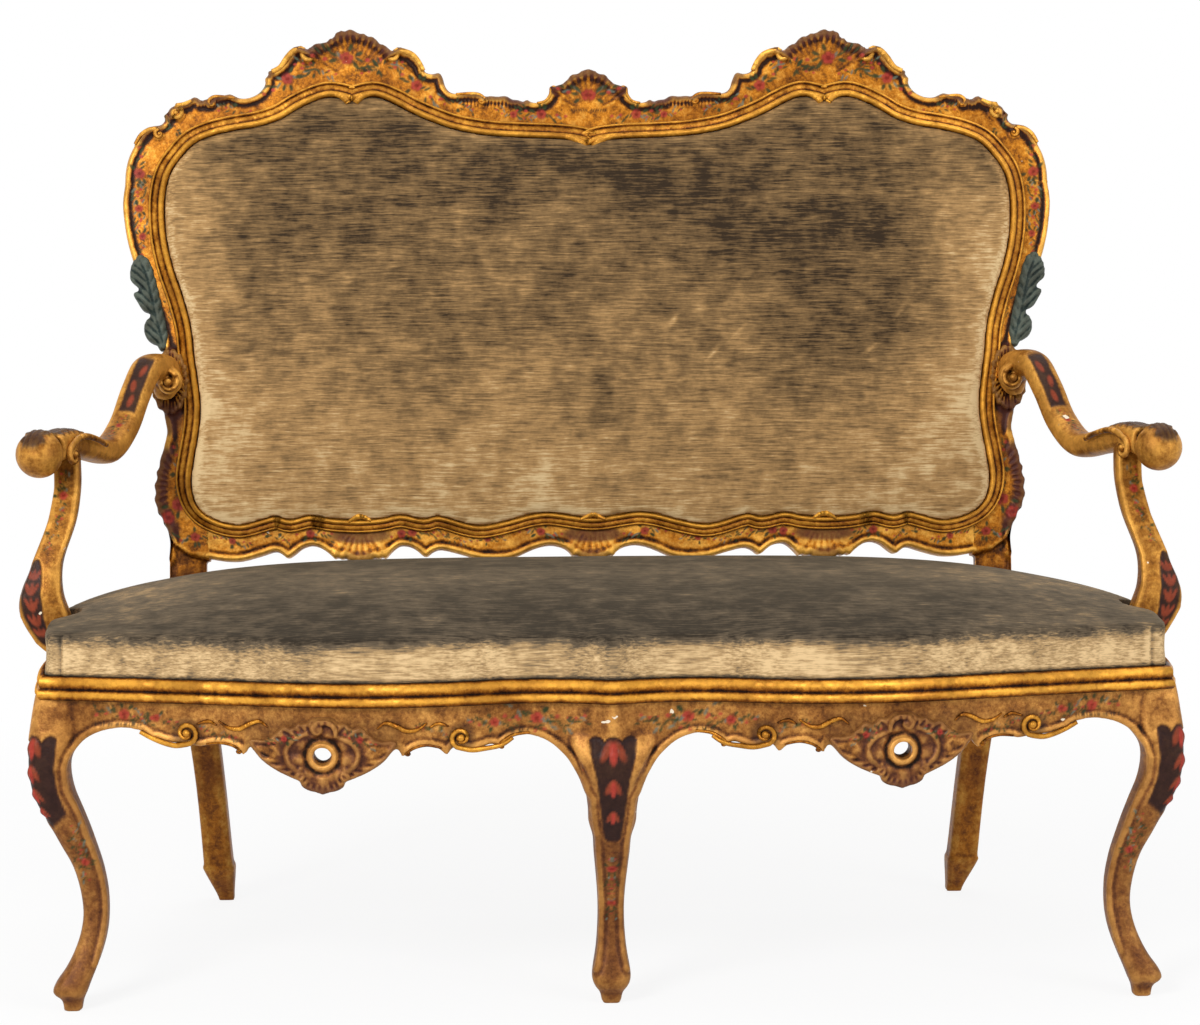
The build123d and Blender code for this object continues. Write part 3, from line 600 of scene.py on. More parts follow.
# %% [markdown]
# The crest is the showpiece: a board with a scalloped outline, two ribbed shells with scrolls at the
# sides and a smaller shell in the middle. The outline is extruded, the scrolls are swept tubes, and the
# remesh runs them together. Ribs and lips are then cut by height, where the distance to the edge is
# known.

# %% Crest outline
BOARD = 36
crest_edge = [
    (661, 540), (660, 560), (656, 578), (650, 592), (643, 604), (634, 616), (622, 625), (612, 626),
    (606, 630), (604, 635), (606, 640), (602, 643), (599, 640), (599, 648), (594, 653), (588, 655),
    (580, 656), (573, 659), (569, 663), (563, 667), (557, 665), (553, 661), (548, 663), (543, 664),
    (541, 660), (538, 664), (533, 667), (525, 668), (512, 671), (505, 668), (498, 665), (488, 665),
    (478, 668), (470, 673), (464, 680), (461, 688), (463, 693), (459, 696), (457, 700), (458, 704),
    (452, 705), (449, 703), (443, 706), (436, 712), (432, 717), (427, 724), (422, 732), (412, 736),
    (402, 735), (397, 735), (396, 739), (390, 743), (382, 744), (375, 745), (370, 750), (364, 752),
    (361, 758), (354, 762), (348, 761), (342, 764), (334, 762), (329, 758), (322, 758), (315, 754),
    (308, 753), (302, 748), (300, 744), (294, 742), (288, 739), (284, 734), (281, 732), (276, 733),
    (268, 732), (262, 730), (255, 729), (249, 724), (243, 718), (238, 710), (236, 704), (228, 700),
    (220, 700), (215, 702), (211, 699), (208, 692), (206, 684), (203, 678), (198, 673), (188, 671),
    (178, 672), (165, 672), (153, 670), (148, 667), (140, 668), (130, 667), (118, 668), (110, 663),
    (100, 662), (94, 659), (88, 663), (83, 659), (73, 658), (65, 660), (58, 666), (55, 674), (56, 680),
    (52, 681), (49, 679), (45, 683), (38, 684), (34, 688), (29, 691), (27, 696), (20, 699), (13, 700),
    (9, 704), (0, 706),
]
crest_under = [
    (0, 572), (50, 580), (145, 588), (220, 606), (282, 636), (338, 640), (400, 634), (440, 612),
    (505, 595), (545, 580), (568, 560), (581, 540),
]


def flipped(points):
    """The same points on the other side of the middle."""
    return [(-p[0], p[1]) for p in points]


upper = [tuple(p) for p in flowing(crest_edge, 3)]
under = [tuple(p) for p in flowing(crest_under, 6)]
crest_top_line = upper + flipped(upper)[::-1][1:]
JOINT = 3
ends = [(661, 540 - JOINT), (581, 540 - JOINT)]
crest_outline = crest_top_line + flipped(ends) + flipped(under)[::-1] + under[1:] + ends[::-1]
print("crest outline:", len(crest_outline), "points")

# %% [markdown]
# A C-scroll is a rod that thickens, then winds up into a round eye. Winding a line by hand is slow, so
# the spiral is worked out from its middle, its first radius and the number of turns, and the rod's
# thickness tapers along it.

# %% Scrolls


def tube(bm, line, radii):
    """A round rod along a line in the flat of a board."""
    frames = []
    for i, p in enumerate(line):
        along = (Vector(line[min(i + 1, len(line) - 1)]) - Vector(line[max(i - 1, 0)])).normalized()
        side = along.cross(Vector((0, 0, 1)))
        side = side.normalized() if side.length > 1e-4 else Vector((1, 0, 0))
        frames.append(section(p, 2 * radii[i], 2 * radii[i], (side, side.cross(along), along)))
    sweep(bm, frames, squareness=1.0, segments=12)


def scroll(bm, tail, middle, radius, turns, level, thick):
    """A tail that winds into an eye round a middle; turns are positive anticlockwise."""
    line = [Vector(p) for p in flowing(tail, 6)]
    start = math.atan2(tail[-1][1] - middle[1], tail[-1][0] - middle[0])
    steps = max(8, int(abs(turns) * 16))
    for i in range(1, steps + 1):
        t = i / steps
        r = radius * (1 - 0.72 * t)
        angle = start + turns * 2 * math.pi * t
        line.append(Vector((middle[0] + r * math.cos(angle), middle[1] + r * math.sin(angle))))
    radii = []
    for i in range(len(line)):
        swell = math.sin(math.pi * min(1, 0.12 + 0.95 * i / len(line))) ** 0.7
        radii.append(thick * (0.45 + 0.55 * swell))
    tube(bm, [Vector((p[0], p[1], level)) for p in line], radii)
    ball = bmesh.ops.create_uvsphere(bm, u_segments=12, v_segments=8, radius=radius * 0.36)
    bmesh.ops.translate(bm, vec=(*middle, level + 0.5), verts=ball["verts"])


print("scroll tool ready")

# %% [markdown]
# The crest carries seven scrolls on each half. They go into the board before the remesh, so that they
# grow out of it, and once more on top as clean rods, because the remesh alone would leave their ridges
# blunt.

# %% Crest scrolls


def both_sides(bm):
    """Mirror everything in a bmesh to the other side of the middle."""
    bmesh.ops.mirror(bm, geom=bm.verts[:] + bm.edges[:] + bm.faces[:], axis="X", merge_dist=-1)
    bmesh.ops.recalc_face_normals(bm, faces=bm.faces)


def join(target, source):
    """Add one bmesh to another."""
    mesh = as_mesh(source, "joined")
    target.from_mesh(mesh)
    bpy.data.meshes.remove(mesh)


def add_scrolls(bm, scrolls, sink=0):
    """Add a list of scrolls, each sunk a little into its board."""
    for tail, middle, radius, turns, level, thick in scrolls:
        scroll(bm, tail, middle, radius, turns, level - sink, thick)


CREST_SCROLLS = (
    ([(452, 702), (440, 708), (430, 722), (420, 732), (408, 735)], (399, 727), 10, -1.1, 3.0, 4.4),
    ([(236, 703), (243, 716), (252, 726), (264, 731), (275, 733)], (281, 726), 8.5, 1.1, 3.0, 4.2),
    ([(566, 660), (577, 655), (589, 653)], (588, 643), 9.5, 1.2, 2.5, 3.6),
    ([(646, 598), (638, 611), (626, 619), (614, 620)], (612, 613), 7, -0.9, 1.5, 3.4),
    ([(505, 664), (522, 666), (534, 666), (541, 662)], (537, 657), 5.5, -0.9, 1.5, 2.6),
    ([(190, 669), (172, 670), (158, 669), (150, 664)], (154, 660), 5.5, 0.9, 1.5, 2.6),
    ([(74, 656), (62, 659), (55, 668), (54, 677)], (49, 676), 4.5, 0.7, 2.0, 2.4),
)


def scroll_trim(scrolls, lines=()):
    """Scrolls and plain rods for both halves, with a painted highlight along the top of each rod."""
    bm = bmesh.new()
    add_scrolls(bm, scrolls)
    for points, level, thick in lines:
        path = [Vector((p.x, p.y, level)) for p in flowing(points, 6)]
        swell = [0.35 + 0.65 * math.sin(math.pi * i / (len(path) - 1)) for i in range(len(path))]
        tube(bm, path, [thick * share for share in swell])
    both_sides(bm)
    mesh = as_mesh(bm, "scroll_trim")
    # Painted highlight: the tone rises from the foot of each rod to its crown.
    height = places(mesh)[:, 2]
    keep(mesh, tone=0.2 + 0.75 * ramp(height, 0, 7), paint=bare(height))
    return mesh


crest_scrolls = bmesh.new()
add_scrolls(crest_scrolls, CREST_SCROLLS, sink=1)
both_sides(crest_scrolls)
print("crest scrolls:", 2 * len(CREST_SCROLLS))

# %% [markdown]
# A shell in this kind of carving is a fan: ribs that spread from a middle, a raised rim and a hollow
# inside. Ribs could be modelled one by one. A height formula in angle and radius cuts all of them into
# the skin at once, and the same formula later tells the painter where the rim is.

# %% Crest shells
CREST_SHELLS = (((340, 690), 74, 42), ((0, 640), 66, 34))


def fan(u, v, middle, radius, ribs, spread=1.0, start=16):
    """A ribbed shell: its height in millimetres, how much of it is there, and its rim."""
    x, y = u - middle[0], v - middle[1]
    r, angle = np.hypot(x, y), np.arctan2(x, y)
    here = ramp(spread + 0.12 - np.abs(angle), 0, 0.12) * ramp(r, start, start + 12)
    depth = 0.08 * ramp(r, start + 6, 0.6 * radius) + 0.85 * ramp(r, 0.7 * radius, 0.82 * radius)
    flute = np.cos(angle * ribs) * depth
    height = here * (5 * ramp(r, 0.6 * radius, 0.95 * radius) + 1.7 * flute - 1.5)
    return height, here, here * ramp(r, radius * 0.74, radius * 0.86)


def carved(mesh, line, relief, soft_edge=6):
    """Cut a relief into the front of a flat board and give back its flat places and edge distance."""
    co = places(mesh)
    d = edge_distance(co[:, :2], line)
    front = ramp(co[:, 2], -7, -1.5)
    inside = np.minimum(d, soft_edge)
    drop = soft_edge - np.sqrt(np.maximum(soft_edge ** 2 - (soft_edge - inside) ** 2, 0))
    co[:, 2] += front * (relief(co[:, 0], co[:, 1], d) - drop)
    move_to(mesh, co)
    return co, d


def crest_relief(u, v, d):
    """Edge bead, shells and ribbed fillings of the crest."""
    u = np.abs(u)
    height = 1.6 * ridge(d, 5, 3) - 1.0 * ridge(d, 11, 4)
    for middle, radius, ribs in CREST_SHELLS:
        shell, here, rim = fan(u, v, middle, radius, ribs)
        height = height * (1 - here) + shell + 1.6 * rim
    ribbed = ridge(u, 540, 26) * ramp(v, 645, 655) + ridge(u, 138, 34) * ramp(v, 648, 656)
    return height + ribbed * (1.2 * np.cos(u * 1.25) + 1)


bm = prism(crest_outline, -BOARD, 0)
join(bm, crest_scrolls)
crest_mesh = remeshed(bm, voxel=2.6, name="crest", soften=1)
carved(crest_mesh, crest_top_line, crest_relief)
crest_sprays = (
    ((346, 722), 0.1, 19, 3, 1), ((430, 692), -0.6, 16, 7, 1), ((246, 682), 0.6, 16, 5, 1),
    ((2, 668), 0.2, 17, 9, 1), ((68, 640), 0.1, 14, 11, 1), ((108, 640), 0.2, 10, 12, 1),
    ((640, 556), 1.5, 15, 13, 1), ((190, 654), 0.2, 10, 15, 0), ((500, 646), 0.1, 11, 18, 0),
    ((590, 620), 0.6, 10, 19, 0), ((390, 706), 0.3, 12, 21, 0), ((296, 710), -0.3, 12, 23, 0),
)
flat = finer(crest_mesh, crest_sprays)
edge = edge_distance(flat[:, :2], crest_top_line)
print("crest skin:", len(flat), "points")

# %% [markdown]
# The crest is painted next: red-brown rims on the shells, a rose with leaves in each shell and smaller
# sprays beside them. Only the front takes flowers; the back is left as plain worn gold.

# %% Crest paint


def lined(tone, d):
    """A rubbed edge and a dirty groove beside it."""
    return np.clip(tone + 0.22 * ridge(d, 4.5, 2.5) - 0.3 * ridge(d, 11, 3.5), 0, 1)


paint = bare(flat)
spot = np.column_stack((np.abs(flat[:, 0]), flat[:, 1]))
for middle, radius, ribs in CREST_SHELLS:
    _, here, rim = fan(spot[:, 0], spot[:, 1], middle, radius, ribs)
    angle = np.arctan2(spot[:, 0] - middle[0], spot[:, 1] - middle[1])
    lay(paint, np.clip(rim * 0.85 + here * 0.2 * (np.cos(angle * ribs) < -0.2), 0, 0.9), PLUM)
CREST_RIMS = (
    ((622, 612), 26, 0.7), ((586, 645), 26, 0.8), ((550, 664), 34, 0.85), ((520, 666), 26, 0.7),
    ((140, 664), 56, 0.85), ((100, 660), 22, 0.8), ((52, 678), 12, 0.8), ((455, 700), 10, 0.8),
    ((213, 694), 14, 0.7), ((425, 728), 22, 0.4), ((250, 722), 22, 0.4),
)
RIM_REACH = 11
for middle, size, strength in CREST_RIMS:
    gap = np.hypot(*(spot - np.array(middle)).T)
    near_edge = ramp(RIM_REACH - edge, 0, RIM_REACH * 0.6)
    lay(paint, ramp(size - gap, 0, size * 0.4) * near_edge * strength, PLUM)
paint_sprays(spot, paint, crest_sprays)
hatching(spot, paint, (334, 704), (302, 705), count=12, length=3.5, lean=1.3)
hatching(spot, paint, (2, 646), (26, 646), count=7, length=4, lean=1.2)
paint *= ramp(flat[:, 2], -12, -4)[:, None]
crest_mesh.transform(BACK)
keep(crest_mesh, tone=lined(hollow_map(crest_mesh, rounds=14, reach=0.0032), edge), paint=paint)
crest_trim = scroll_trim(CREST_SCROLLS)
crest_trim.transform(BACK)
show(crest_trim, "crest_scrolls", back_gilt, "painted_gilt")
show(crest_mesh, "carved_crest", back_gilt, "painted_gilt", "crest_rail", "crest_carving_right",
     "crest_carving_left", "crest_shell")

# %% [markdown]
# Each stile is one long piece of wood: a square raked leg below, and a shaped board above that leans with
# the back. It could be two meshes pushed together. Here the leg is swept in the board's own flat space
# and remeshed with it, so no joint shows. The right one is made and then mirrored.

# %% Stiles
stile_inner = [
    (545, 95), (545, 112), (543, 150), (536, 190), (534, 225), (538, 262), (544, 297), (548, 335),
    (558, 378), (572, 420), (581, 460), (584, 500), (581, 540),
]
stile_outer = [
    (661, 540), (664, 515), (662, 488), (657, 458), (647, 424), (631, 388), (614, 342), (606, 305),
    (605, 250), (606, 215), (602, 190), (604, 176), (608, 160), (612, 148), (613, 138), (617, 130),
    (616, 121), (620, 112), (618, 101), (620, 92), (616, 80), (615, 72), (609, 66), (607, 57), (602, 50),
    (600, 42), (598, 28), (600, 6),
]
inner_line = [tuple(p) for p in flowing(stile_inner, 4)]
outer_line = [tuple(p) for p in flowing(stile_outer, 4)]
stile_outline = inner_line + [(581, 543), (661, 543)] + outer_line + [(542, 4), (542, 95)]
rear_leg = [
    (530, 578, 0, 22, 24), (532, 576, 12, 26, 28), (539, 562, 52, 46, 46), (540, 560, 62, 42, 42),
    (548, 540, 180, 41, 41), (560, 525, 290, 44, 41), (572, 521, 346, 48, 40), (574, 521, 417, 50, 40),
    (573, 527, 500, 52, 34), (573, 533, 530, 46, 28),
]


def upright_frames(sections):
    """Level frames for a leg from its middle, height, width and depth."""
    return [FLOOR_PLAN @ section((x, y, z), wide, deep) for x, y, z, wide, deep in sections]


def smooth_sections(sections, steps=4):
    """More sections between a few given ones, on smooth lines."""
    across, depth, wide, deep = [flowing([(s[2], s[i]) for s in sections], steps) for i in (0, 1, 3, 4)]
    return [(a.y, b.y, a.x, c.y, d.y) for a, b, c, d in zip(across, depth, wide, deep)]


ARM_SHELL, SHELL_WIDE, SHELL_HIGH = (597, 258), 26, 46
shell_ring = []
for i in range(72):
    t = i * math.pi / 36
    swell = 1 + 0.045 * math.cos(14 * t)
    shell_ring.append((ARM_SHELL[0] + SHELL_WIDE * swell * math.cos(t),
                       ARM_SHELL[1] + SHELL_HIGH * swell * math.sin(t)))
bm = prism(stile_outline, -BOARD, 0)
join(bm, prism(shell_ring, -16, 9))
leg_bm = bmesh.new()
sweep(leg_bm, [BACK.inverted() @ f for f in upright_frames(smooth_sections(rear_leg))], squareness=0.35)
join(bm, leg_bm)
stile_mesh = remeshed(bm, voxel=2.3, name="stile", soften=1)
print("stile skin:", len(stile_mesh.vertices), "points")

# %% [markdown]
# The stile's outer edge carries a bead. At its lower corner and behind the arm the edge opens into fluted
# shells. Below them the leg's top is set back, because on the real frame the board ends in front of it.
# All are terms of one height formula, so they blend where they meet.

# %% Stile relief
CORNER_HUB = (572, 112)


def stile_relief(u, v, d):
    """Edge bead, corner flutes and arm shell of a stile."""
    outer = edge_distance(np.column_stack((u, v)), outer_line)
    height = 1.5 * ridge(outer, 5, 3) - 1.0 * ridge(outer, 11, 4)
    angle = np.arctan2(v - CORNER_HUB[1], u - CORNER_HUB[0])
    flutes = ramp(20 - outer, 0, 9) * ramp(1.5 - np.abs(angle + 0.1), 0, 0.3) * ramp(v, 40, 60)
    height = height * (1 - flutes) + flutes * (0.9 * np.cos(angle * 30) + 2.6 * ramp(20 - outer, 0, 16))
    x, y = (u - ARM_SHELL[0]) / SHELL_WIDE, (v - ARM_SHELL[1]) / SHELL_HIGH
    r, angle = np.hypot(x, y), np.arctan2(y, x)
    shell = ramp(1.08 - r, 0, 0.06)
    dish = 2.2 * np.cos(angle * 26) * ramp(r, 0.35, 0.8) + 5 * ramp(r, 0.45, 0.95) - 3.5
    foot = np.interp(u, [530, 545, 570, 590, 602, 612], [6, 8, 14, 28, 50, 74])
    return height * (1 - shell) + shell * dish - 14 * ramp(foot - v, 0, 4)


carved(stile_mesh, outer_line, stile_relief, soft_edge=5)
print("stile carved")

# %% [markdown]
# Red-brown lies on the shells' rims and flowers climb the stile's face. The leg below the seat has no
# flowers: a brown glaze over the gold makes it quieter, as on the front legs.

# %% Stile paint
stile_sprays = (
    ((642, 552), 1.5, 14, 13, 1), ((641, 506), 1.6, 11, 31, 1), ((636, 466), 1.5, 10, 33, 1),
    ((586, 84), -0.9, 18, 35, 2), ((584, 134), 1.4, 13, 37, 1), ((562, 38), -0.2, 13, 39, 1),
    ((597, 370), 1.3, 8, 40, 0),
)
flat = finer(stile_mesh, stile_sprays, False)
paint = bare(flat)
spot = flat[:, :2]
outer = edge_distance(spot, outer_line)
corner = ramp(46 - np.hypot(spot[:, 0] - 604, (spot[:, 1] - 100) * 0.62), 0, 10)
lay(paint, corner * ramp(22 - outer, 0, 12) * 0.9, PLUM)
r = np.hypot((spot[:, 0] - ARM_SHELL[0]) / SHELL_WIDE, (spot[:, 1] - ARM_SHELL[1]) / SHELL_HIGH)
lay(paint, ramp(1.12 - r, 0, 0.06) * ramp(r, 0.55, 0.85) * 0.75, PLUM)
under_shell = ramp(24 - np.hypot(spot[:, 0] - 600, (spot[:, 1] - 205) * 0.8), 0, 10)
lay(paint, under_shell * 0.7, PLUM)
paint_sprays(spot, paint, stile_sprays)
paint *= (ramp(flat[:, 2], -14, -5) * ramp(spot[:, 1], 2, 12))[:, None]
lay(paint, 0.45 * ramp(10 - spot[:, 1], 0, 30), BROWN_GLAZE)
stile_mesh.transform(BACK)
tone = lined(hollow_map(stile_mesh, rounds=14, reach=0.0034), outer)
keep(stile_mesh, tone=np.where(spot[:, 1] < 30, np.clip(tone - 0.07, 0.34, 0.6), tone), paint=paint)
show_pair(stile_mesh, "stile", back_gilt, "painted_gilt", "rear_stile")

# %% [markdown]
# The lower back rail is a scalloped board with three fan drops. It is made like the crest: half the edge
# is drawn, mirrored, extruded and remeshed, and the fans are cut by height.

# %% Lower back rail
lower_edge = [
    (545, 8), (520, 4), (497, 4), (470, 11), (450, 17), (440, 13), (434, 8), (428, 9), (421, 14),
    (412, 21), (400, 25), (388, 23), (378, 17), (370, 10), (366, 6), (361, 8), (356, 5), (350, 7),
    (346, 3), (338, 2), (330, 1), (322, 2), (314, 3), (310, 7), (304, 5), (299, 8), (294, 6), (290, 10),
    (282, 18), (272, 24), (258, 22), (248, 16), (240, 9), (234, 9), (228, 14), (215, 18), (190, 12),
    (165, 5), (138, 3), (112, 6), (84, 18), (62, 23), (44, 20), (33, 13), (29, 7), (23, 8), (18, 4),
    (10, 3), (0, 1),
]
lower_line = [tuple(p) for p in flowing(lower_edge, 3)]
lower_edge_line = lower_line + flipped(lower_line)[::-1][1:]
lower_outline = [(548, 8)] + lower_edge_line[1:-1] + [(-548, 8), (-548, 88), (548, 88)]
bm = prism(lower_outline, -BOARD, 0)
lower_mesh = remeshed(bm, voxel=2.2, name="lower_rail", soften=1)
DROPS = (0, 330)


def lower_relief(u, v, d):
    """Edge bead and fans of the lower rail."""
    u = np.abs(u)
    height = 1.4 * ridge(d, 4, 2.5) - 0.8 * ridge(d, 9, 3)
    for middle in DROPS:
        x, y = u - middle, 62 - v
        r, angle = np.hypot(x, y), np.arctan2(x, y)
        here = ramp(0.85 - np.abs(angle), 0, 0.15) * ramp(r, 24, 30)
        height = height * (1 - here) + here * (0.35 * np.cos(angle * 30) + 1.8 * ramp(r, 30, 56))
    return height


carved(lower_mesh, lower_edge_line, lower_relief, soft_edge=5)
print("lower rail carved")

# %% [markdown]
# Between the fans the rail carries flowers. Over each fan hangs a red-brown swag, and the fan's lower
# edge is red-brown too.

# %% Lower back rail paint
rail_sprays = (
    ((400, 42), 0.05, 12, 41, 1), ((256, 42), -0.1, 12, 43, 2), ((74, 42), 0.1, 12, 45, 1),
    ((510, 32), 0.1, 10, 47, 1), ((150, 32), -0.2, 9, 49, 1), ((452, 38), 0.2, 9, 51, 0),
    ((200, 34), 0.2, 8, 53, 0),
)
flat = finer(lower_mesh, rail_sprays)
paint = bare(flat)
spot = np.column_stack((np.abs(flat[:, 0]), flat[:, 1]))
for middle in DROPS:
    swag = ramp(40 - np.hypot((spot[:, 0] - middle) * 0.75, (spot[:, 1] - 38) * 3), 0, 14)
    fringe = ramp(36 - np.hypot(spot[:, 0] - middle, (spot[:, 1] - 2) * 2), 0, 14)
    lay(paint, np.maximum(swag * 0.75, fringe * 0.55), PLUM)
paint_sprays(spot, paint, rail_sprays)
paint *= ramp(flat[:, 2], -12, -4)[:, None]
lower_mesh.transform(BACK)
tone = lined(hollow_map(lower_mesh, rounds=14, reach=0.0032), edge_distance(flat[:, :2], lower_edge_line))
# Painted light: the whole rail's tone is lifted by a fixed step to offset the shade it lies in.
keep(lower_mesh, tone=np.clip(tone + 0.12, 0, 1), paint=paint)
show(lower_mesh, "carved_lower_rail", back_gilt, "painted_gilt", "lower_back_rail")

# %% [markdown]
# Mouldings are planed along a line with one profile. Blender could bevel a curve with a profile; here the
# profile is a small face that is extruded from point to point along the line, because then each point of
# the profile keeps its own tone of gold: a painted highlight on the round of a bead, painted shade in a
# groove.

# %% Moulding along a line


def run_profile(line, normals_out, up, profile, widths, closed):
    """Extrude a profile of (out, up, tone) along a line of places."""
    bm = bmesh.new()
    layer = bm.verts.layers.float.new("tone")
    ring = [bm.verts.new((x, y, 0)) for x, y, tone in profile]
    for v, (x, y, tone) in zip(ring, profile):
        v[layer] = tone
    cap = bm.faces.new(ring)
    frames = []
    for p, out, wide in zip(line, normals_out, widths):
        frames.append(section(p, wide, wide, (out, up, out.cross(up).normalized())))
    bmesh.ops.transform(bm, matrix=frames[0], verts=ring)
    cap = extrude_along(bm, cap, frames)
    if closed:
        first = [f for f in bm.faces if len(f.verts) == len(profile) and f != cap][0]
        loops = list(first.edges) + list(cap.edges)
        bmesh.ops.delete(bm, geom=[first, cap], context="FACES_ONLY")
        bmesh.ops.bridge_loops(bm, edges=loops)
    bmesh.ops.recalc_face_normals(bm, faces=bm.faces)
    return bm


def flat_normals(line, closed, hubs):
    """Directions at right angles to a flat line; each points away from its own hub."""
    out = []
    count = len(line)
    for i, p in enumerate(line):
        before = line[i - 1] if closed or i else p
        after = line[(i + 1) % count] if closed or i + 1 < count else p
        along = (Vector(after) - Vector(before)).normalized()
        side = Vector((along.y, -along.x))
        if side.dot(p - hubs[i]) < 0:
            side = -side
        out.append(side.to_3d())
    return out


print("moulding plane ready")

# %% [markdown]
# Round the velvet runs a gilt moulding: a full bead next to the cloth, a soft broad step and a thin outer
# bead. It breaks into small curled tips above each dip. The line of its inner edge, the sight line, is
# also the edge of everything that is stretched in the back: pad, hessian, webbing and lining.

# %% Back moulding
sight_top = [
    (0, 592), (14, 599), (50, 603), (100, 605), (145, 608), (190, 616), (222, 627), (252, 640),
    (282, 656), (304, 664), (322, 662), (338, 657),
]
sight_shoulder = [
    (338, 657), (354, 662), (372, 664), (392, 658), (415, 647), (440, 632), (470, 622), (505, 616),
    (535, 609), (562, 597), (581, 577), (595, 556), (602, 530), (604, 500), (601, 460), (592, 420),
    (578, 378), (567, 335), (563, 297), (558, 262), (554, 225), (556, 190), (562, 155), (567, 118),
    (563, 90), (551, 72), (532, 61), (510, 55), (492, 55), (470, 61), (448, 66), (428, 61), (400, 67),
    (368, 62), (332, 60), (300, 62), (272, 67), (240, 61), (218, 65), (180, 54), (155, 51), (120, 58),
    (90, 66), (65, 69), (40, 66), (15, 62), (0, 61),
]
half = flowing(sight_top, 4)[:-1] + flowing(sight_shoulder, 4)
sight = half[:-1] + [Vector((-p.x, p.y)) for p in half[::-1][:-1]]
HUB_REACH, HUB_HEIGHT = 300, 330
hubs = [Vector((max(-HUB_REACH, min(HUB_REACH, p.x)), HUB_HEIGHT)) for p in sight]
sight_out = flat_normals(sight, True, hubs)
# Each row is (out, up, tone); the tone paints a highlight on the crown of each bead and shade in the
# grooves.
MOULD = [
    (0.0, 0.0, 0.2), (0.0, 4.0, 0.25), (0.8, 9.0, 0.55), (2.6, 12.4, 0.85), (5.0, 13.6, 1.0),
    (7.4, 12.4, 0.85), (9.2, 9.6, 0.5), (10.0, 8.2, 0.2), (10.8, 8.2, 0.4), (12.6, 8.4, 0.6),
    (15.0, 8.0, 0.66), (17.0, 7.2, 0.56), (18.0, 6.6, 0.4), (18.6, 6.0, 0.2), (19.2, 6.8, 0.4),
    (20.2, 8.6, 0.75), (21.6, 8.8, 0.85), (22.8, 7.2, 0.6), (23.4, 4.0, 0.3), (23.6, 0.0, 0.15),
]
widths = [0.78 + 0.22 * float(ramp(np.array(p.y), 60, 130)) for p in sight]
bm = run_profile([p.to_3d() for p in sight], sight_out, Vector((0, 0, 1)), MOULD, widths, True)
TIPS = (
    ([(44, 609), (26, 605), (12, 598), (6, 591)], [2.5, 5.2, 5.6, 4.6]),
    ([(370, 670), (356, 667), (347, 661), (343, 655)], [2.5, 4.6, 5.0, 4.2]),
    ([(306, 670), (320, 667), (329, 661), (333, 655)], [2.5, 4.6, 5.0, 4.2]),
    ([(346, 57), (338, 62), (331, 65), (322, 63), (314, 58)], [2.0, 3.6, 4.6, 3.6, 2.0]),
    ([(18, 58), (8, 63), (0.4, 66)], [2.0, 3.6, 4.6]),
)
tips = bmesh.new()
for line, radii in TIPS:
    path = [Vector((p.x, p.y, 9.5)) for p in flowing(line, 4)]
    widths = np.interp(np.linspace(0, 1, len(path)), np.linspace(0, 1, len(radii)), radii)
    tube(tips, path, list(widths))
both_sides(tips)
# Painted highlight: the tips' tone rises toward their fronts, the further they stand out of the moulding.
tone_layer = tips.verts.layers.float.new("tone")
for v in tips.verts:
    v[tone_layer] = 0.55 + 0.4 * ramp(np.array(v.co.z), 8, 14)
join(bm, tips)
mould_mesh = as_mesh(bm, "back_moulding")
mould_mesh.transform(BACK)
keep(mould_mesh, paint=bare(mould_mesh.vertices))
show(mould_mesh, "back_moulding", bead_gilt, "bright_gilt", "back_moulding_top", "back_moulding_bottom",
     "back_moulding_side_right", "back_moulding_side_left")

# %% [markdown]
# A grey-green leaf is glued on the outer edge of each stile. It could be modelled from a bent plane;
# cutting its serrated outline from a board and doming it, with a groove for the rib and flutes beside it,
# follows the carver, and gives it the thickness that shows from the side.

# %% Stile leaves
leaf_edge = [
    (648, 432), (640, 440), (630, 436), (623, 425), (618, 408), (613, 388), (608, 365), (603, 342),
    (600, 322), (603, 307), (611, 303), (616, 311), (623, 314), (630, 320), (634, 332), (632, 344),
    (625, 352), (627, 357), (636, 361), (643, 372), (649, 384), (641, 389), (645, 396), (653, 404),
    (653, 420),
]
leaf_line = [tuple(p) for p in flowing(leaf_edge, 4, True)]
leaf_rib = flowing([(640, 434), (630, 410), (624, 385), (616, 350), (607, 312)], 6)
leaf_green = gilt("painted_leaf", (0.003, 0.006, 0.006), (0.012, 0.022, 0.019), (0.026, 0.043, 0.037),
                  (0.1, 0.12, 0.095), metal=0.0, shine=0.3, chips=0.8)


def leaf_relief(u, v, d):
    """A domed leaf with a rib and slanting flutes."""
    rib = edge_distance(np.column_stack((u, v)), leaf_rib)
    flutes = np.cos((v - 1.3 * rib) * 0.42) * ramp(rib, 1, 5)
    return 6 * ramp(d, 0, 12) - 2.6 * ridge(rib, 0, 2.4) + 1.5 * flutes


LEAF_BACK, LEAF_FACE, LEAF_PROUD = -22, 3, 4
leaf_mesh = remeshed(prism(leaf_line, LEAF_BACK, LEAF_FACE), voxel=1.8, name="leaf", soften=1)
leaf_mesh.transform(Matrix.Translation((0, 0, -LEAF_FACE)))
flat, edge = carved(leaf_mesh, leaf_line + leaf_line[:1], leaf_relief, soft_edge=4)
leaf_mesh.transform(Matrix.Translation((0, 0, LEAF_PROUD)))
leaf_mesh.transform(BACK)
keep(leaf_mesh, tone=hollow_map(leaf_mesh, rounds=14, reach=0.004), paint=bare(flat))
show_pair(leaf_mesh, "stile_leaf_carving", leaf_green, "green_leaf", "stile_leaf")

# %% [markdown]
# The seat front begins with its rail, a board with a scrolled lower edge and a pierced eye in each half.
# It could be modelled on the bow at once, but a flat board is easier to draw and to cut. It is remeshed
# into small faces, so that it then bends onto the bow without corners.

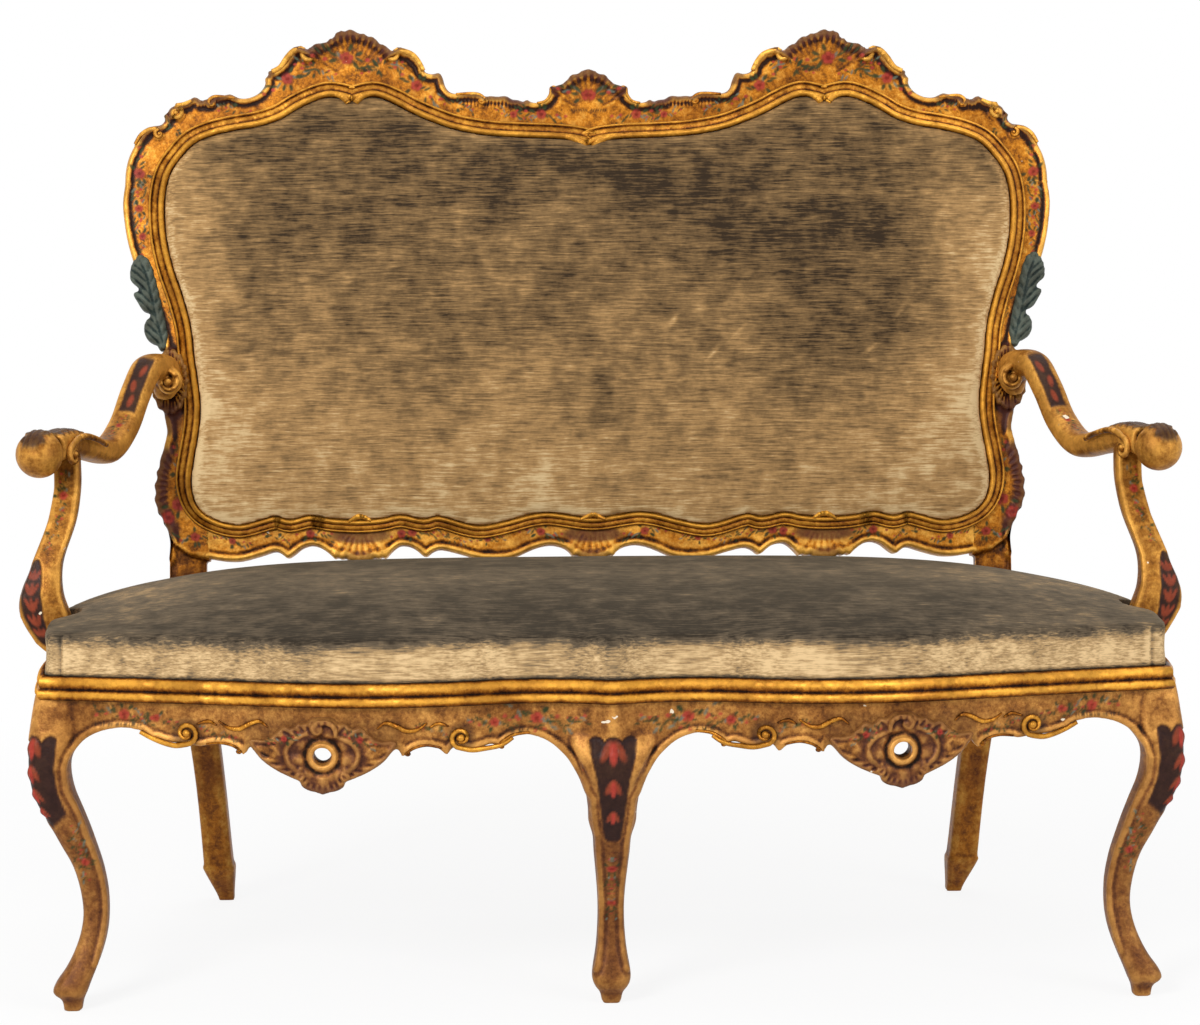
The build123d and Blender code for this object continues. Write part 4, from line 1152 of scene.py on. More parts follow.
# %% Seat rail
apron = [
    (30, 275), (35, 282), (41, 298), (48, 312), (56, 325), (66, 336), (78, 346), (92, 353), (110, 357),
    (124, 354), (134, 349), (138, 344), (143, 342), (148, 345), (154, 346), (163, 343), (172, 341),
    (180, 341), (190, 344), (199, 345), (204, 340), (207, 334), (211, 338), (217, 343), (226, 346),
    (240, 347), (250, 343), (258, 337), (262, 334), (266, 340), (270, 346), (285, 330), (300, 319),
    (325, 312), (362, 308), (399, 312), (424, 319), (440, 331), (452, 348), (456, 339), (462, 334),
    (467, 340), (476, 345), (490, 347), (503, 346), (515, 343), (527, 345), (540, 346), (552, 347),
    (563, 349), (572, 352), (576, 350), (581, 355), (590, 360), (605, 363), (620, 363), (636, 360),
    (650, 355), (662, 348), (672, 338), (680, 326), (685, 310),
]
apron_line = [tuple(p) for p in flowing(apron, 3)]
RAIL, RAIL_END, RAIL_LOW, RAIL_TOP = 28, 700, 300, 425
HOLE, HOLE_RADIUS = (362, 337), 11
FIFTEEN_DEGREES = 0.2618


def oval(middle, wide, high, count):
    """Points round an oval, one every fifteen degrees."""
    angles = [i * FIFTEEN_DEGREES for i in range(count)]
    return [(middle[0] + wide * math.cos(t), middle[1] + high * math.sin(t)) for t in angles]


def holed_prism(outline, holes, low, high):
    """A flat outline with round holes, raised between two heights."""
    bm = bmesh.new()
    rings = [outline]
    for x, y, radius in holes:
        rings.append(oval((x, y), radius, radius, 24))
    for ring in rings:
        corners = [bm.verts.new((x, y, low)) for x, y in ring]
        for a, b in zip(corners, corners[1:] + corners[:1]):
            bm.edges.new((a, b))
    bmesh.ops.triangle_fill(bm, edges=bm.edges[:], use_beauty=True, normal=(0, 0, 1))
    return raise_faces(bm, high - low)


def bent(mesh):
    """Lay a flat board (across, up, out) on the bow of the seat front, in millimetres."""
    co = places(mesh)
    move_to(mesh, np.column_stack((co[:, 0], bow(co[:, 0]) - co[:, 2], co[:, 1])))
    mesh.flip_normals()
    return mesh


half_rail = apron_line + [(RAIL_END, RAIL_LOW), (RAIL_END, RAIL_TOP)]
rail_outline = half_rail + flipped(half_rail)[::-1]
rail_holes = [(side * HOLE[0], HOLE[1], HOLE_RADIUS) for side in (1, -1)]
rail_bm = holed_prism(rail_outline, rail_holes, -RAIL, 0)
bowed_rail = bent(remeshed(rail_bm, voxel=2.4, name="rail", soften=0))
print("rail board:", len(bowed_rail.vertices), "points")

# %% [markdown]
# Three cabriole legs carry the rail. A leg could be turned out of one block by subdivision; sweeping a
# rounded square through measured sections keeps its S-curve easy to correct. Legs and rail are remeshed
# together, so that the arches run into the knees without a joint.

# %% Front legs
corner_leg = [
    (684, -2, 0, 23, 23), (684, -2, 14, 28, 27), (687, -3, 24, 43, 40), (683, 0, 36, 44, 42),
    (674, 6, 52, 39, 39), (665, 13, 72, 36, 36), (658, 19, 95, 34, 34), (655, 23, 120, 33, 33),
    (657, 24, 150, 35, 36), (664, 22, 182, 38, 39), (675, 19, 210, 44, 43), (684, 17, 232, 48, 47),
    (696, 16, 256, 54, 51), (706, 16, 282, 54, 53), (710, 17, 310, 54, 54), (707, 20, 340, 58, 54),
    (702, 24, 370, 60, 50), (699, 26, 398, 56, 46), (696, 27, 424, 48, 42),
]
middle_leg = [
    (0, 0, 0, 24, 24), (0, 0, 14, 30, 28), (0, -1, 24, 44, 40), (0, 0, 38, 50, 44), (0, 8, 72, 39, 38),
    (0, 13, 110, 34, 34), (0, 8, 146, 36, 37), (0, -11, 200, 46, 44), (0, -20, 222, 49, 47),
    (0, -27, 242, 60, 50), (0, -33, 260, 62, 53), (0, -39, 285, 69, 56), (0, -43, 312, 82, 58),
    (0, -42, 332, 98, 56), (0, -36, 352, 114, 48), (0, -24, 380, 120, 40),
]
seat_front = bmesh.new()
seat_front.from_mesh(bowed_rail)
bpy.data.meshes.remove(bowed_rail)
legs = bmesh.new()
plain = FLOOR_PLAN.inverted()
sweep(legs, [plain @ f for f in upright_frames(smooth_sections(corner_leg, 3))], squareness=0.6)
both_sides(legs)
sweep(legs, [plain @ f for f in upright_frames(smooth_sections(middle_leg, 3))], squareness=0.6)
join(seat_front, legs)
front_mesh = remeshed(seat_front, voxel=2.5, name="seat_front", soften=2)
print("seat front skin:", len(front_mesh.vertices), "points")

# %% [markdown]
# Beads are raised along the arches and the inner edges of the legs, and a scalloped panel is sunk into
# each knee. The distance to each line, seen from the front, says where the beads lie. On a corner leg the
# panel goes round the knee, so it is measured by the angle about the leg's middle.

# %% Beads and knee panels
leg_inner = [
    (685, 310), (682, 285), (672, 265), (664, 245), (660, 230), (650, 200), (642, 170), (638, 135),
    (641, 100), (650, 60),
]
leg_middle_edge = [(30, 275), (28, 250), (24, 225), (22, 200), (18, 150), (17, 110), (19, 75), (23, 50)]
co = places(front_mesh)
out = normals(front_mesh)
view = np.column_stack((np.abs(co[:, 0]), co[:, 2]))
facing = ramp(-out[:, 1], 0.15, 0.5)
near_hole = ramp(100 - np.abs(view[:, 0] - HOLE[0]), 0, 6)
arch = edge_distance(view, apron_line)
inner = edge_distance(view, flowing(leg_inner, 5))
middle_edge = edge_distance(view, flowing(leg_middle_edge, 5))
lines = np.minimum(np.minimum(arch + 40 * near_hole, inner), middle_edge)
bead = ridge(lines, 4.5, 2.8)
co += out * (facing * (2.2 * bead - 1.2 * ridge(lines, 10, 3)))[:, None]
leg_path = np.array([(s[2], s[0], s[1]) for s in corner_leg])
heart_x = np.interp(co[:, 2], leg_path[:, 0], leg_path[:, 1])
heart_y = np.interp(co[:, 2], leg_path[:, 0], leg_path[:, 2])
turn = np.arctan2(-(co[:, 1] - heart_y), np.abs(co[:, 0]) - heart_x) - math.pi / 4
is_leg = ramp(np.abs(co[:, 0]), 640, 642)
knee_top = 346 + 10 * np.abs(np.cos(turn * 4)) ** 0.6
knee_low = 232 + 16 * np.abs(turn)
knee = (is_leg * ramp(1.15 - np.abs(turn), 0, 0.12) * ramp(knee_top - co[:, 2], 0, 5)
        * ramp(co[:, 2] - knee_low, 0, 7))
middle_top = 350 + 8 * np.abs(np.cos(co[:, 0] * math.pi / 22)) ** 0.6
middle_half = np.interp(co[:, 2], [215, 222, 260, 300, 335, 352, 360], [6, 12, 17, 22, 30, 31, 27])
middle_knee = (facing * ramp(40 - np.abs(co[:, 0]), 0, 2) * ramp(middle_half - np.abs(co[:, 0]), 0, 3)
               * ramp(middle_top - co[:, 2], 0, 4) * ramp(co[:, 2], 214, 220))
panel = np.maximum(knee, middle_knee)
co -= out * (1.8 * panel)[:, None]
move_to(front_mesh, co)
print("points in knee panels:", int((panel > 0.5).sum()))

# %% [markdown]
# The legs are glazed brown and the panels are painted dark. In each panel hangs a drop of red
# bellflowers: three petals each, painted with the brush and raised by the same strokes, so that paint and
# relief agree.

# %% Bellflower drops
paint = bare(co)
lay(paint, 0.45 * ramp(335 - co[:, 2], 0, 45), BROWN_GLAZE)
lay(paint, panel * 0.95, DARK_PLUM)
drop_leg = reachable(np.column_stack((turn * 30, co[:, 2])), is_leg)
in_middle = ramp(60 - np.abs(co[:, 0]), 0, 1) * facing
drop_middle = reachable(np.column_stack((co[:, 0], co[:, 2])), in_middle)
raise_by = np.zeros(len(co))
LEG_DROPS = ((338, 15, 7), (306, 13, 6), (278, 11, 5), (256, 8, 4))
MIDDLE_DROPS = ((338, 17, 9), (292, 13, 5), (252, 10, 4))
for points, drops in ((drop_leg, LEG_DROPS), (drop_middle, MIDDLE_DROPS)):
    for z, size, spread in drops:
        for side in (-1, 1, 0):
            at = (0.95 * side * spread, z - (1 - abs(side)) * 0.2 * size)
            petal = (size, 0.36 * size)
            lean = math.pi / 2 + side * 0.45
            stroke(points, paint, at, petal, lean, CORAL if side else ROSE_LIGHT, 0.95, 0.4)
            mark = bare(points)
            stroke(points, mark, at, petal, lean, CORAL, 1.0, 0.8)
            raise_by = np.maximum(raise_by, mark[:, 3])
co += out * (2.6 * raise_by)[:, None]
move_to(front_mesh, co)
print("bellflowers:", 2 * len(LEG_DROPS) + len(MIDDLE_DROPS))

# %% [markdown]
# Flower sprays run along the rail and down the legs, dashes mark the arches, and painted shade lies
# behind the two large scrolls. Height and hollows decide how bright the gold under all this is.

# %% Seat front paint
front_sprays = (
    ((612, 381), 0.05, 14, 61, 1), ((572, 378), 0.1, 11, 62, 1), ((95, 378), 0.1, 16, 63, 1),
    ((148, 374), 0.0, 12, 65, 1), ((66, 372), -0.3, 13, 66, 0), ((222, 366), 0.2, 9, 68, 0),
    ((492, 362), 0.2, 9, 69, 0), ((666, 190), 1.4, 10, 71, 1), ((676, 216), 1.4, 9, 72, 0),
    ((2, 178), 1.57, 9, 73, 1), ((2, 130), 1.57, 8, 74, 1),
)
spot = reachable(view, facing)
paint_sprays(spot, paint, front_sprays)
hatching(spot, paint, (590, 369), (650, 368), count=18, length=4, lean=1.5)
hatching(spot, paint, (105, 364), (135, 362), count=9, length=4, lean=1.5)
# Painted shade: a dark disc behind the eye of each large rail scroll.
for middle, size in (((533, 360), 24), ((190, 357), 23)):
    ring = np.hypot(view[:, 0] - middle[0], view[:, 1] - middle[1])
    lay(paint, 0.55 * ramp(size - ring, 0, 10) * facing, DARK_PLUM)
lay(paint, 0.3 * near_hole * ramp(395 - view[:, 1], 0, 20) * facing, DARK_PLUM)
tone = hollow_map(front_mesh, rounds=12, reach=4.2)
tone += 0.06 * ramp(view[:, 1], 330, 350) - 0.08 * ramp(300 - view[:, 1], 0, 60)
tone = np.clip(tone + 0.35 * bead * facing, 0, 1)
front_mesh.transform(FLOOR_PLAN)
keep(front_mesh, tone=tone, paint=paint)
print("sprays on the seat front:", 2 * len(front_sprays))

# %% [markdown]
# Thin gilt scrolls lie on the rail. They could be part of its skin, but a rod a few millimetres thick
# needs finer faces than the remesh gives, so they stay swept tubes and are bent onto the bow like the
# rail.

# %% Rail scrolls
RAIL_SCROLLS = (
    ([(592, 360), (578, 353), (562, 347), (547, 344), (533, 346)], (533, 360), 14, -1.35, 2.0, 3.6),
    ([(125, 354), (140, 345), (160, 342), (176, 341), (190, 344)], (190, 357), 13, 1.35, 2.0, 3.4),
    ([(104, 360), (122, 358), (133, 353), (141, 347)], (138, 344), 4, -0.6, 1.5, 2.4),
    ([(508, 347), (490, 349), (474, 346), (464, 339)], (468, 340), 4, 0.5, 1.0, 2.0),
    ([(214, 345), (232, 349), (248, 346), (259, 339)], (255, 340), 4, -0.5, 1.0, 2.0),
)
RAIL_RODS = (
    ([(492, 377), (480, 369), (466, 368), (452, 375), (440, 378), (430, 371)], 1.0, 3.4),
    ([(232, 377), (244, 369), (258, 368), (272, 375), (284, 378), (294, 371)], 1.0, 3.4),
    ([(520, 372), (505, 376), (494, 371)], 0.8, 2.4), ([(205, 372), (218, 376), (229, 371)], 0.8, 2.4),
)
rail_trim = bent(scroll_trim(RAIL_SCROLLS, RAIL_RODS))
rail_trim.transform(FLOOR_PLAN)
show(rail_trim, "rail_scrolls", bead_gilt, "painted_gilt")
show(front_mesh, "seat_front_and_legs", seat_gilt, "painted_gilt", "front_rail_right", "front_rail_left",
     "front_leg_right", "front_leg_left", "front_leg_middle")

# %% [markdown]
# A pierced cartouche is glued on each front rail: a round eye in a gilt ring, ribbed shells round it, a
# curl on top and a fan below. It could be sculpted by hand. Cut out flat with its hole, it can be carved
# by a formula in distance and angle from the eye, and bent onto the bow afterwards.

# %% Rail cartouches
wing = [
    (0, 288), (9, 291), (18, 293), (26, 298), (29, 305), (38, 308), (58, 317), (76, 329), (88, 344),
    (93, 353), (86, 356), (74, 356), (64, 360), (56, 367), (47, 374), (38, 372), (30, 378), (20, 379),
    (12, 385), (0, 386),
]
wing_line = [tuple(p) for p in flowing(wing, 4)]
cartouche_line = wing_line + flipped(wing_line)[::-1][1:-1]
cartouche_ring = [(x + HOLE[0], z) for x, z in cartouche_line]
CARTOUCHE_BACK, CARTOUCHE_FACE = -6, 3
bm = holed_prism(cartouche_ring, [(HOLE[0], HOLE[1], 11.5)], CARTOUCHE_BACK, CARTOUCHE_FACE)
extra = bmesh.new()
eye = [Vector((x, y, 5)) for x, y in oval(HOLE, 15, 14.5, 25)]
tube(extra, eye, [3.4] * len(eye))
CARTOUCHE_SCROLLS = (
    ([(345, 362), (346, 373), (354, 380), (364, 380)], (367, 372), 8, -1.1, 6, 3.6),
    ([(380, 366), (398, 358), (407, 344), (405, 330), (396, 320)], (390, 316), 5, -0.8, 4, 3.0),
    ([(344, 362), (328, 356), (318, 343), (320, 330), (329, 320)], (335, 316), 5, 0.8, 4, 3.0),
    ([(452, 350), (436, 352), (424, 347), (416, 338)], (421, 336), 5, -0.8, 2, 2.6),
    ([(272, 350), (288, 352), (300, 347), (308, 338)], (303, 336), 5, 0.8, 2, 2.6),
    ([(388, 322), (392, 318), (394, 314)], (389, 312), 5, -0.7, 4, 2.6),
    ([(336, 322), (332, 318), (330, 314)], (335, 312), 5, 0.7, 4, 2.6),
    ([(432, 330), (444, 340), (452, 350)], (448, 352), 4, 0.6, 2, 2.6),
    ([(292, 330), (280, 340), (272, 350)], (276, 352), 4, -0.6, 2, 2.6),
)
add_scrolls(extra, CARTOUCHE_SCROLLS)
join(bm, extra)
cartouche = remeshed(bm, voxel=1.7, name="cartouche", soften=1)
print("cartouche skin:", len(cartouche.vertices), "points")

# %% [markdown]
# Its rim is ribbed, ruffles stand round the eye and the wings fall away to the sides. Red-brown lies
# between the ruffles and on the fan, and the ring round the eye stays bright gold.

# %% Cartouche relief and paint


def cartouche_relief(u, v, d):
    """Ribbed rim, ruffles and falling wings."""
    x, y = u - HOLE[0], v - HOLE[1]
    r, angle = np.hypot(x, y), np.arctan2(x, -y)
    rim = ramp(13 - d, 0, 6) * ramp(d, 0.5, 3)
    ribs = rim * np.cos(angle * 34) * ramp(r, 26, 34)
    ruffle = ramp(r, 20, 30) * ramp(52 - r, 0, 12) * (1 + 0.5 * np.cos(angle * 9))
    wings = 2.5 * ramp(r, 45, 95)
    return 3 + 1.2 * ribs + 2.4 * ruffle - wings + 1.4 * ridge(d, 2.5, 1.8) - 1.2 * ridge(r, 23, 3)


cartouche.transform(Matrix.Translation((0, 0, -CARTOUCHE_FACE)))
flat, edge = carved(cartouche, cartouche_ring + cartouche_ring[:1], cartouche_relief, soft_edge=3)
cartouche.transform(Matrix.Translation((0, 0, CARTOUCHE_FACE)))
spot = flat[:, :2]
paint = bare(flat)
r = np.hypot(spot[:, 0] - HOLE[0], spot[:, 1] - HOLE[1])
lay(paint, ramp(r, 22, 30) * ramp(62 - r, 0, 10) * 0.45, PLUM)
lay(paint, ramp(304 - spot[:, 1], 0, 8) * 0.7, PLUM)
lay(paint, ramp(8 - edge, 0, 5) * ramp(r, 40, 60) * 0.6, PLUM)
spray(spot, paint, (315, 358), 0.4, 8, 81, 1)
spray(spot, paint, (410, 358), -0.4, 8, 83, 1)
tone = hollow_map(cartouche, rounds=12, reach=3.6)
tone = np.clip(tone + 0.5 * ridge(r, 15, 4), 0, 1)
bent(cartouche)
cartouche.transform(FLOOR_PLAN)
keep(cartouche, tone=tone, paint=paint * (1 - 0.9 * ridge(r, 15, 4))[:, None])
show_pair(cartouche, "pierced_cartouche", seat_gilt, "painted_gilt", "rail_cartouche")

# %% [markdown]
# Under the cushion runs a double gilt bead along front and sides. It could be a bevelled curve; it is the
# moulding function again, on the plan of the seat, so both mouldings take their painted highlights and
# shade in the same way.

# %% Seat moulding
# Each row is (out, height, tone); the tone paints a highlight on the upper round of each bead and shade
# under it and in the groove.
SEAT_BEAD = [
    (-2, 397.0, 0.1), (4, 397.2, 0.15), (9, 398.6, 0.3), (11.5, 401.4, 0.5), (12, 404, 0.78),
    (11.4, 407, 1.0), (9.6, 409.4, 0.6), (7.6, 410.8, 0.25), (6.8, 411.6, 0.1), (7.6, 412.8, 0.28),
    (8.6, 415.6, 0.5), (8.8, 419, 0.75), (7.8, 422.4, 1.0), (5.6, 425.4, 0.75), (2.5, 427, 0.35),
    (-2, 427.4, 0.2),
]
plan = seat_plan()
plan = [Vector(p) for p in plan[::-1]] + [Vector((-x, y)) for x, y in plan[1:]]
plan_out = flat_normals(plan, False, [Vector((0, 250))] * len(plan))
even = [1.0] * len(plan)
bm = run_profile([p.to_3d() for p in plan], plan_out, Vector((0, 0, 1)), SEAT_BEAD, even, False)
bead_mesh = as_mesh(bm, "seat_moulding")
bead_mesh.transform(FLOOR_PLAN)
keep(bead_mesh, paint=bare(bead_mesh.vertices))
show(bead_mesh, "seat_moulding", bead_gilt, "bright_gilt", "front_moulding_right", "front_moulding_left",
     "side_moulding_right", "side_moulding_left")

# %% [markdown]
# The open arms leave the stiles at a fluted shell, dip in a long curve and end in a round knob. A curve
# with a bevel would give one section all along; here the section changes, so it is swept through frames
# and remeshed with the knob and the curl at its root.

# %% Arms
arm_line = [
    (600, 552, 752, 36, 60), (605, 528, 772, 38, 46), (622, 490, 777, 40, 36), (636, 455, 745, 40, 35),
    (650, 420, 702, 40, 34), (668, 372, 676, 40, 34), (690, 314, 685, 41, 34), (711, 260, 697, 43, 36),
    (726, 218, 694, 46, 40),
]
KNOB, KNOB_RADIUS = Vector((736, 190, 689)), 31
CURL_DEPTH = 512


def limb_frames(stations, steps=6):
    """Frames across a limb that bends in space, level from side to side."""
    line = flowing([s[:3] for s in stations], steps)
    wide = flowing([(i, s[3]) for i, s in enumerate(stations)], steps)
    thick = flowing([(i, s[4]) for i, s in enumerate(stations)], steps)
    frames = []
    for i, p in enumerate(line):
        along = (line[min(i + 1, len(line) - 1)] - line[max(i - 1, 0)]).normalized()
        side = Vector((0, 0, 1)).cross(along).normalized()
        frames.append(section(p, wide[i][1], thick[i][1], (side, along.cross(side), along)))
    return line, frames


arm_middle, frames = limb_frames(arm_line, 14)
bm = bmesh.new()
sweep(bm, frames, squareness=0.72)
ball = bmesh.ops.create_uvsphere(bm, u_segments=28, v_segments=18, radius=KNOB_RADIUS)
bmesh.ops.translate(bm, vec=KNOB, verts=ball["verts"])
curl = bmesh.new()
scroll(curl, [(636, 760), (628, 772), (614, 778), (601, 773)], (596, 757), 17, 1.25, 0, 7)
upright = Matrix(((1, 0, 0, 0), (0, 0, -1, CURL_DEPTH), (0, 1, 0, 0), (0, 0, 0, 1)))
bmesh.ops.transform(curl, matrix=upright, verts=curl.verts)
join(bm, curl)
arm_mesh = remeshed(bm, voxel=2.2, name="arm", soften=2)
co, out = places(arm_mesh), normals(arm_mesh)
print("arm skin:", len(co), "points")

# %% [markdown]
# On top of the arm lie a sunk panel near the back and a carved leaf over the front, with a bead along
# each side. Each point is given the nearest place on the arm's middle line, so relief and paint follow
# the bend.

# %% Arm relief


def along_limb(points, line):
    """How far along a line each point is, in millimetres, and how it lies beside the line."""
    stops = np.array(line)
    steps = np.concatenate(([0], np.cumsum(np.linalg.norm(np.diff(stops, axis=0), axis=1))))
    nearest = np.empty(len(points), int)
    for start in range(0, len(points), 20000):
        part = points[start:start + 20000]
        nearest[start:start + 20000] = ((part[:, None] - stops[None]) ** 2).sum(2).argmin(1)
    gap = points - stops[nearest]
    run = np.gradient(stops, axis=0)[nearest]
    run /= np.linalg.norm(run, axis=1)[:, None]
    forward = (gap * run).sum(1)
    return steps[nearest] + forward, gap - forward[:, None] * run


path, gap = along_limb(co, arm_middle)
across = gap[:, 0]
sides = np.abs(across)
bead = ridge(sides, 18, 2.6) * ramp(out[:, 2], -0.5, 0.1)
hub = np.linalg.norm(co - np.array(KNOB), axis=1)
on_knob = ramp(34 - hub, 0, 2)
lift = 0.8 * bead * (1 - on_knob)
leaf_edge_wave = 15 - 3 * np.cos(path * 0.45)
leaf_cap = ramp(leaf_edge_wave - sides, 0, 3) * ramp(path, 300, 350) * ramp(out[:, 2], 0.2, 0.5)
lift += leaf_cap * (1.6 + 0.7 * np.cos(across * 0.9))
panel = ramp(13 - sides, 0, 3) * ramp(path, 70, 78) * ramp(168 - path, 0, 8)
panel *= ramp(out[:, 2] - out[:, 1], 0.3, 0.6)
lift -= 1.4 * panel
co += out * lift[:, None]
move_to(arm_mesh, co)
print("arm length:", round(float(path.max())), "mm")

# %% [markdown]
# The panel is dark with red petals, small flowers follow on the gold, and the leaf is dark again. Paint
# lies on the upper side only.

# %% Arm paint
paint = bare(co)
lay(paint, panel * 0.95, DARK_PLUM)
petals = reachable(np.column_stack((path, across)), ramp(panel, 0, 0.3))
for at, lean in (((96, -3), 0.2), ((122, 3), -0.2), ((146, 0), 0.1)):
    stroke(petals, paint, at, (12, 5), lean, CORAL, 0.95, 0.4)
ARM_SPRAYS = (((196, 0), 0.1, 9, 91, 1), ((235, 2), 0.0, 8, 93, 0), ((285, 0), 0.1, 8, 95, 1))
spot = reachable(np.column_stack((path, across)), ramp(out[:, 2], 0.1, 0.5))
paint_sprays(spot, paint, ARM_SPRAYS)
lay(paint, leaf_cap * 0.85, DARK_PLUM)
tone = np.clip(hollow_map(arm_mesh, rounds=12, reach=4.2) + 0.25 * bead, 0, 1)
worn_gold = gilt("gilt_arms", (0.018, 0.007, 0.002), (0.15, 0.053, 0.009), (0.36, 0.14, 0.017),
                 (0.7, 0.34, 0.06), metal=0.35, shine=0.26, chips=0.76)
arm_mesh.transform(FLOOR_PLAN)
keep(arm_mesh, tone=tone, paint=paint)
show_pair(arm_mesh, "scroll_arm", worn_gold, "painted_gilt", "arm")

# %% [markdown]
# A thin scroll runs along the inner face of each arm's end, and another winds round the curl at its root.
# They are rods like those on the rail. The first is drawn flat and then set upright on the slanting face.

# %% Arm scrolls
forward, inwards = Vector((0.36, -0.93, 0)).normalized(), Vector((-0.93, -0.36, 0)).normalized()
side_face = Matrix((forward, (0, 0, 1), inwards)).transposed().to_4x4()
side_face = Matrix.Translation((695, 226, 685)) @ side_face
trims = bmesh.new()
scroll(trims, [(-92, 4), (-66, 14), (-36, 21), (-14, 20), (0, 14)], (0, 0), 14, -1.25, 0, 4.4)
bmesh.ops.transform(trims, matrix=side_face, verts=trims.verts)
eye_curl = bmesh.new()
scroll(eye_curl, [(634, 765), (626, 775), (613, 780), (600, 774)], (596, 758), 16, 1.3, 8, 3.4)
bmesh.ops.transform(eye_curl, matrix=upright, verts=eye_curl.verts)
join(trims, eye_curl)
trim_mesh = as_mesh(trims, "arm_scroll")
# Painted light: the rods are brighter where they face up and darker where they face down.
tone = 0.45 + 0.4 * ramp(normals(trim_mesh)[:, 2], -0.4, 0.8)
keep(trim_mesh, tone=tone, paint=bare(tone))
trim_mesh.transform(FLOOR_PLAN)
show_pair(trim_mesh, "arm_scrolls", worn_gold, "painted_gilt")

# %% [markdown]
# The arm supports rise from the side rails in an S and meet the arms from below. They are swept upright
# through level sections, as the legs are, which keeps the S easy to correct from front and side.

# %% Arm supports
support_line = [
    (700, 165, 425, 30, 46), (716, 164, 448, 52, 48), (729, 163, 482, 64, 48), (733, 164, 512, 54, 44),
    (726, 174, 550, 40, 38), (710, 204, 600, 37, 36), (706, 238, 640, 35, 36), (708, 256, 672, 35, 38),
    (709, 262, 692, 33, 36),
]
bm = bmesh.new()
levels = smooth_sections(support_line, 6)
sweep(bm, [section((x, y, z), wide, deep) for x, y, z, wide, deep in levels], squareness=0.55)
support_mesh = remeshed(bm, voxel=2.2, name="arm_support", soften=2)
print("arm support skin:", len(support_mesh.vertices), "points")

# %% [markdown]
# Beads line the front of a support. Its bulge carries a pointed panel with a drop of red petals on the
# outer side, and small sprays climb above it.

# %% Arm support relief and paint
co, out = places(support_mesh), normals(support_mesh)
stops = np.array(support_line)
half_wide = np.interp(co[:, 2], stops[:, 2], stops[:, 3]) / 2
across = co[:, 0] - np.interp(co[:, 2], stops[:, 2], stops[:, 0])
front = ramp(-out[:, 1], 0.1, 0.5)
bead = ridge(half_wide - np.abs(across), 4, 2.4) * front
face = reachable(np.column_stack((across, co[:, 2])), front)
PANEL_MIDDLE, PANEL_HEIGHT, PANEL_HALF, PANEL_OUT = 500, 56, 15, 13
panel_edge = PANEL_HALF * np.sqrt(np.clip(1 - ((co[:, 2] - PANEL_MIDDLE) / PANEL_HEIGHT) ** 2, 0, 1))
outer_side = ramp(out[:, 0] - 0.9 * out[:, 1], 0.3, 0.6)
panel = outer_side * ramp(panel_edge - np.abs(across - PANEL_OUT), 0, 3)
co += out * (2.0 * bead - 1.6 * panel)[:, None]
paint = bare(co)
lay(paint, panel * 0.95, DARK_PLUM)
drops = reachable(np.column_stack((across, co[:, 2])), ramp(panel, 0, 0.3))
for z, size in ((536, 8), (518, 10), (498, 11), (478, 10), (462, 7)):
    for side in (-1, 0, 1):
        at, lean = (PANEL_OUT + side * 5, z), math.pi / 2 - side * 0.4
        stroke(drops, paint, at, (size, 3.0), lean, CORAL, 0.95, 0.35)
spray(face, paint, (2, 632), 1.4, 11, 97, 1)
spray(face, paint, (4, 588), 1.5, 8, 99, 0)
move_to(support_mesh, co)
tone = np.clip(hollow_map(support_mesh, rounds=12, reach=4.2) + 0.35 * bead, 0, 1)
support_mesh.transform(FLOOR_PLAN)
keep(support_mesh, tone=tone, paint=paint)
show_pair(support_mesh, "carved_arm_support", worn_gold, "painted_gilt", "arm_support")

# %% [markdown]
# Velvet with fine ribs across. The pile is rubbed paler where the settee was used, and dark elsewhere; on
# the seat the nap value also holds painted shade and a painted highlight. It could be hair, but here the
# pile is only a surface. So a nap value kept on the points gives the large light and dark, stretched
# noise the fine ribs, and sheen the soft glow at grazing angles.

# %% Velvet


def velvet(name, dark, middle, tan, pale):
    """Ribbed pile, dark to pale with the nap value, which on the seat also holds painted light."""
    material, tree, shader, coords = new_material(name)
    ribs = noise_node(tree, stretched(tree, coords, (24, 430, 430)), 1.0, 2, 0.55)
    weave = noise_node(tree, stretched(tree, coords, (80, 820, 820)), 1.0, 2, 0.55)
    cloud = noise_node(tree, coords, 5.5, 4, 0.6)
    blots = noise_node(tree, coords, 34, 4, 0.62)
    value = attribute_node(tree, "nap").outputs["Fac"]
    for pattern, strength in ((ribs, 0.75), (weave, 0.42), (cloud, 0.6), (blots, 0.75)):
        lowered = math_node(tree, "ADD", value, -strength / 2)
        value = math_node(tree, "MULTIPLY_ADD", pattern, strength, lowered)
    colour = ramp_node(tree, value, [(0.1, dark), (0.42, middle), (0.68, tan), (0.92, pale)])
    set_sockets(shader, {"Base Color": colour, "Roughness": 0.85, "Specular IOR Level": 0.15,
                         "Sheen Weight": 0.12, "Sheen Roughness": 0.4, "Sheen Tint": (0.9, 0.78, 0.55, 1),
                         "Normal": bump_node(tree, ribs, 0.3, 0.0008)})
    return material


back_velvet = velvet("velvet_back", (0.03, 0.018, 0.009), (0.2, 0.118, 0.048), (0.42, 0.245, 0.095),
                     (0.66, 0.48, 0.25))
seat_velvet = velvet("velvet_seat", (0.026, 0.019, 0.012), (0.12, 0.088, 0.055), (0.4, 0.26, 0.12),
                     (0.68, 0.48, 0.25))
print("velvets: 2")

# %% [markdown]
# The back pad is stuffed thin at the moulding and full in the middle. Cloth simulation could pull it over
# a form, but this cover is stretched hard and has no folds. So a slab in the outline of the moulding is
# remeshed, and its front is pushed out by a dome that is highest in the middle.

# %% Back pad


def tucked(line, inset):
    """The line of the moulding moved inwards."""
    return [(p.x - inset * n.x, p.y - inset * n.y) for p, n in zip(line, sight_out)]


